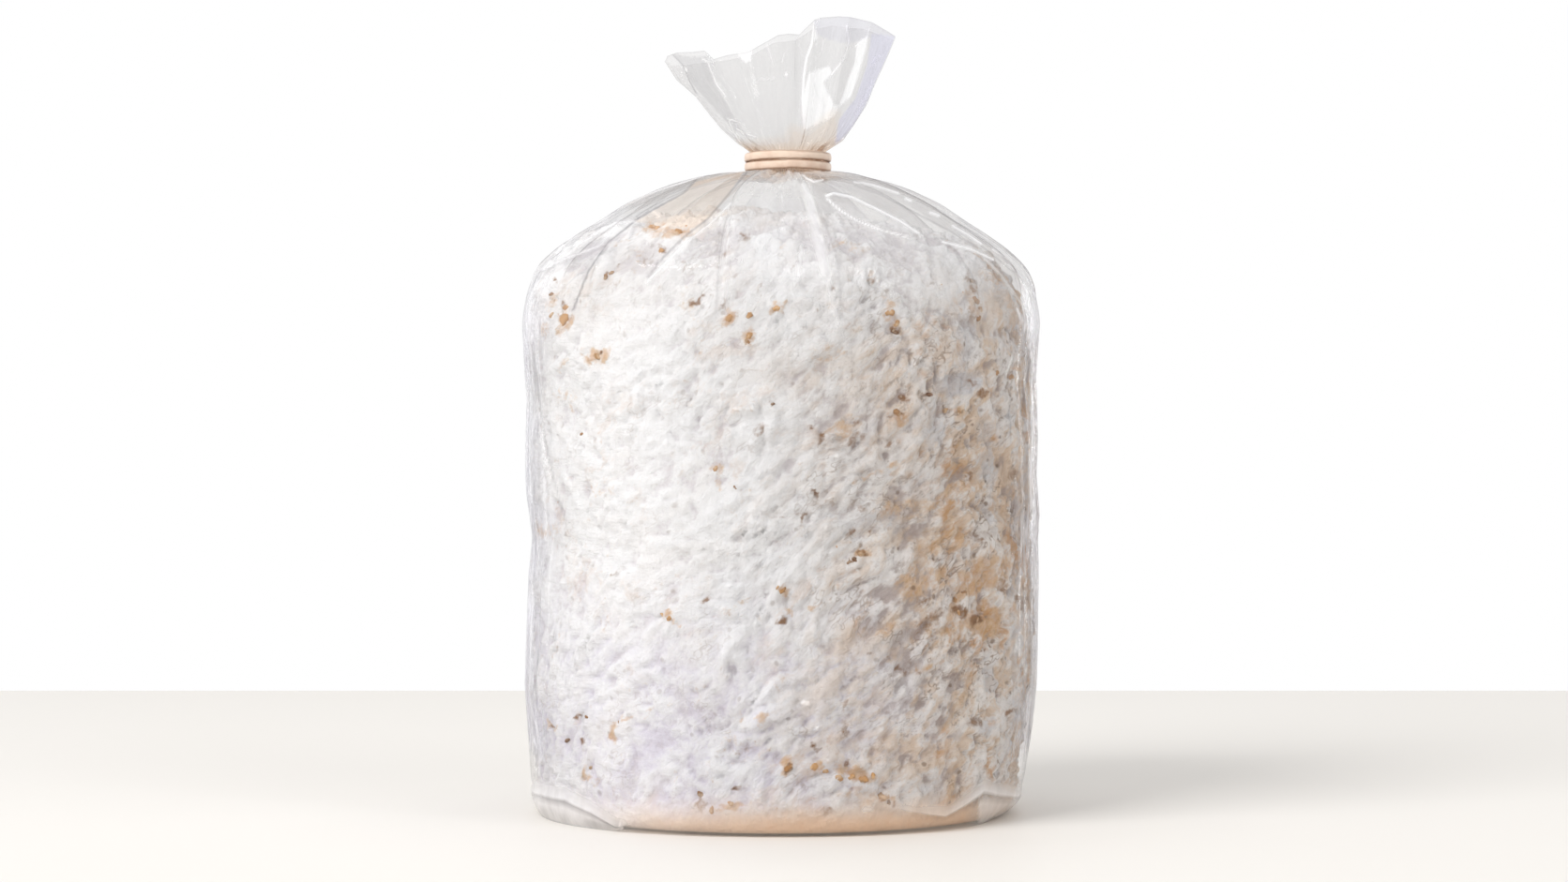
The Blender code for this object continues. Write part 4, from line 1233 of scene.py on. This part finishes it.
def mouth_values(points):
    """What the material reads at each point of the mouth, in the order of its names."""
    seen = seen_from_front(points)
    on_front = (mouth_u > 180)[None, :]
    up = np.linspace(0, 1, len(points))[:, None]
    nothing = np.zeros(points.shape[:2])
    cloud = drawn_on(nothing + 0.10, seen, mouth_glints, on_front)
    # The facets are painted bright: cloudier white, and clear of grey.
    cloud = filled_on(cloud, seen, facet_highlights, 1.2, on_front)
    clear = filled_on(nothing, seen, [(outline, 1.0) for outline, _ in facet_highlights], 1.2, 1.0)
    line = drawn_on(0.13 * (1 - clear), seen, mouth_darks, on_front)
    line = filled_on(line, seen, (grey_lip,), 3.0, on_front)
    line = np.maximum(line, (0.15 + 0.23 * on_front) * (up > rim_from))
    far_side = panel(seen, far_wall, 2.0) * on_front
    line = np.maximum(line, far_side * 0.20)
    cool = filled_on(far_side * 0.5, seen, (lilac_edge,), 2.0, on_front)
    warm = filled_on(0.9 * eased((0.20 - up) / 0.20), seen, (peach_foot,), 14.0, on_front)
    return 0.55 * (1 - clear), cloud, line, warm, cool, 0.3, 0.0


mouth_points = mouth_rings()
mouth_mesh, _ = film_sheet("film_mouth", mouth_points, mouth_u, film_run, mouth_values(mouth_points),
                           (False, False))
mouth = show("film_mouth", mouth_mesh)
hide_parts("film_bag")
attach(mouth, "root")

# The rubber band: one flat band of natural rubber, wound twice round the neck.
# The two turns lie one on the other, bite into the gathered film and cross at the back.
strand_height = 2.68
strand_thick = 1.7
strand_gap = 0.17
strand_roundness = 0.75
band_steps = 150
band_sides = 24
band_seat = 11.75
crossing = math.radians(38)
# The upper turn is nicked along its front: from and to which angle, and how deep.
nick_span = (0.12, 1.35)
nick_depth = 0.40
rubber_pale = (0.800, 0.640, 0.520)
rubber_deep = (0.700, 0.520, 0.410)
rubber_shade = (0.340, 0.205, 0.135)


def band_mesh():
    """Both turns of the band as one strand that crosses itself at the back."""
    profile = []
    for k in range(band_sides):
        profile.append([size / 2 * math.copysign(abs(swing) ** strand_roundness, swing) for size, swing in (
            (strand_thick, math.cos(k * 2 * math.pi / band_sides)),
            (strand_height, math.sin(k * 2 * math.pi / band_sides)))])
    points = []
    for along in range(2 * band_steps):
        turn, angle = divmod(along, band_steps)
        angle = angle * 2 * math.pi / band_steps
        from_back = angle - math.pi
        level = (strand_height + strand_gap) / 2 * (1 - 2 * eased((from_back / crossing + 1) / 2))
        radius = band_seat + strand_thick / 2 + 0.10 * math.sin(5 * angle + turn)
        split = nick_depth * eased((angle - nick_span[0]) / 0.10) * eased((nick_span[1] - angle) / 0.12)
        if turn:
            level = -level
            split = 0.0
        else:
            radius += (strand_thick + strand_gap) * eased(2 - abs(from_back) / crossing)
        level += 0.12 * math.sin(2 * angle + 2 * turn) + (tie_low + tie_high) / 2
        for side, (out, up) in enumerate(profile):
            reach = (radius + out - split * (side == 2)) * MM
            points.append((neck_shift * MM + reach * math.sin(angle), -reach * math.cos(angle),
                           (level + up) * MM))
    mesh = mesh_of("band", points, between_rings(2 * band_steps, band_sides, closed=True))
    groove_shade = [float(eased((abs(up) / (strand_height / 2) - 0.62) / 0.34)) for _, up in profile]
    carry(mesh, "groove_shade", groove_shade * 2 * band_steps)
    return mesh


rubber, tree, shader = new_material("natural rubber")
place = given_by("ShaderNodeTexCoord", output="Object")
colour = mixed(ramp(mottle(place, 260.0, 3.0), 0.35, 0.7), rubber_pale, rubber_deep)
# Painted shade along the top and bottom edges of each turn, where the turns meet in a groove.
colour = mixed(attribute("groove_shade") * 0.85, colour, rubber_shade)
finish_with(colour, 0.40, mottle(place, 900.0, 3.0, 0.6, (1.0, 1.0, 2.5)), 0.25, 0.0002)
band = show("band", band_mesh())
band.data.materials.append(rubber)
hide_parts("rubber_band")
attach(band, "root")

# The floor: a plain pale plane that keeps the bag's shadow, under plain soft studio light.
# A broad soft lamp on the upper left makes the bag's left side white, and a weak one fills the right.
floor_colour = (0.83, 0.80, 0.76)
floor_corners = ((-4, -3, 0), (4, -3, 0), (4, 0.512, 0), (-4, 0.512, 0))
# Each lamp: name, size, power, place, the height that it is aimed at, and whether the film mirrors
# it. Only the narrow ones are mirrored, as thin streaks.
lamps = (
    ("key", (2.0, 2.0), 104.0, (-2.15, -2.15, 2.10), 0.10, False),
    ("fill", (2.4, 2.4), 20.0, (2.1, -1.8, 0.9), 0.10, False),
    ("top", (1.2, 0.8), 5.0, (0.0, 0.3, 1.6), 0.15, False),
    ("left edge", (0.05, 1.0), 0.5, (-0.95, 1.25, 0.45), 0.10, True),
    ("right edge", (0.05, 1.0), 1.2, (0.95, 1.25, 0.45), 0.10, True),
    ("upper left strip", (0.9, 0.05), 1.6, (-0.7, -0.5, 1.3), 0.15, True),
    ("upper right strip", (0.05, 0.7), 1.2, (0.75, -0.7, 1.0), 0.15, True),
)
pale_floor, tree, shader = new_material("pale floor")
join(floor_colour, shader.inputs["Base Color"])
join(0.55, shader.inputs["Roughness"])
plane = mesh_of("floor", floor_corners, [(0, 1, 2, 3)])
plane.materials.append(pale_floor)
floor = add_object("floor", plane)

for name, size, power, place, aim, mirrored in lamps:
    light = bpy.data.lights.new(name, "AREA")
    light.shape = "RECTANGLE"
    light.size, light.size_y = size
    light.energy = power
    lamp = add_object(name, light)
    lamp.location = place
    lamp.rotation_euler = (Vector((0, 0, aim)) - Vector(place)).to_track_quat("-Z", "Y").to_euler()
    lamp.visible_glossy = mirrored

world = bpy.data.worlds.new("studio")
bpy.context.scene.world = world
world.use_nodes = True
tree = world.node_tree
seen = all_given("ShaderNodeLightPath")
backdrop = step("MAXIMUM", seen["Is Glossy Ray"], seen["Is Transmission Ray"])
backdrop = step("MAXIMUM", seen["Is Camera Ray"], backdrop)
background = tree.nodes["Background"]
join((1.0, 1.0, 1.0), background.inputs["Color"])
join(backdrop * 0.60 + 0.40, background.inputs["Strength"])

camera_data = bpy.data.cameras.new("camera")
camera_data.lens = 80.0
camera_data.sensor_width = 36.0
camera = add_object("camera", camera_data)
camera.location = eye
camera.rotation_euler = (math.radians(90), 0, 0)
bpy.context.scene.camera = camera
bpy.context.scene.view_settings.view_transform = "Standard"
bpy.context.scene.cycles.transparent_max_bounces = 40
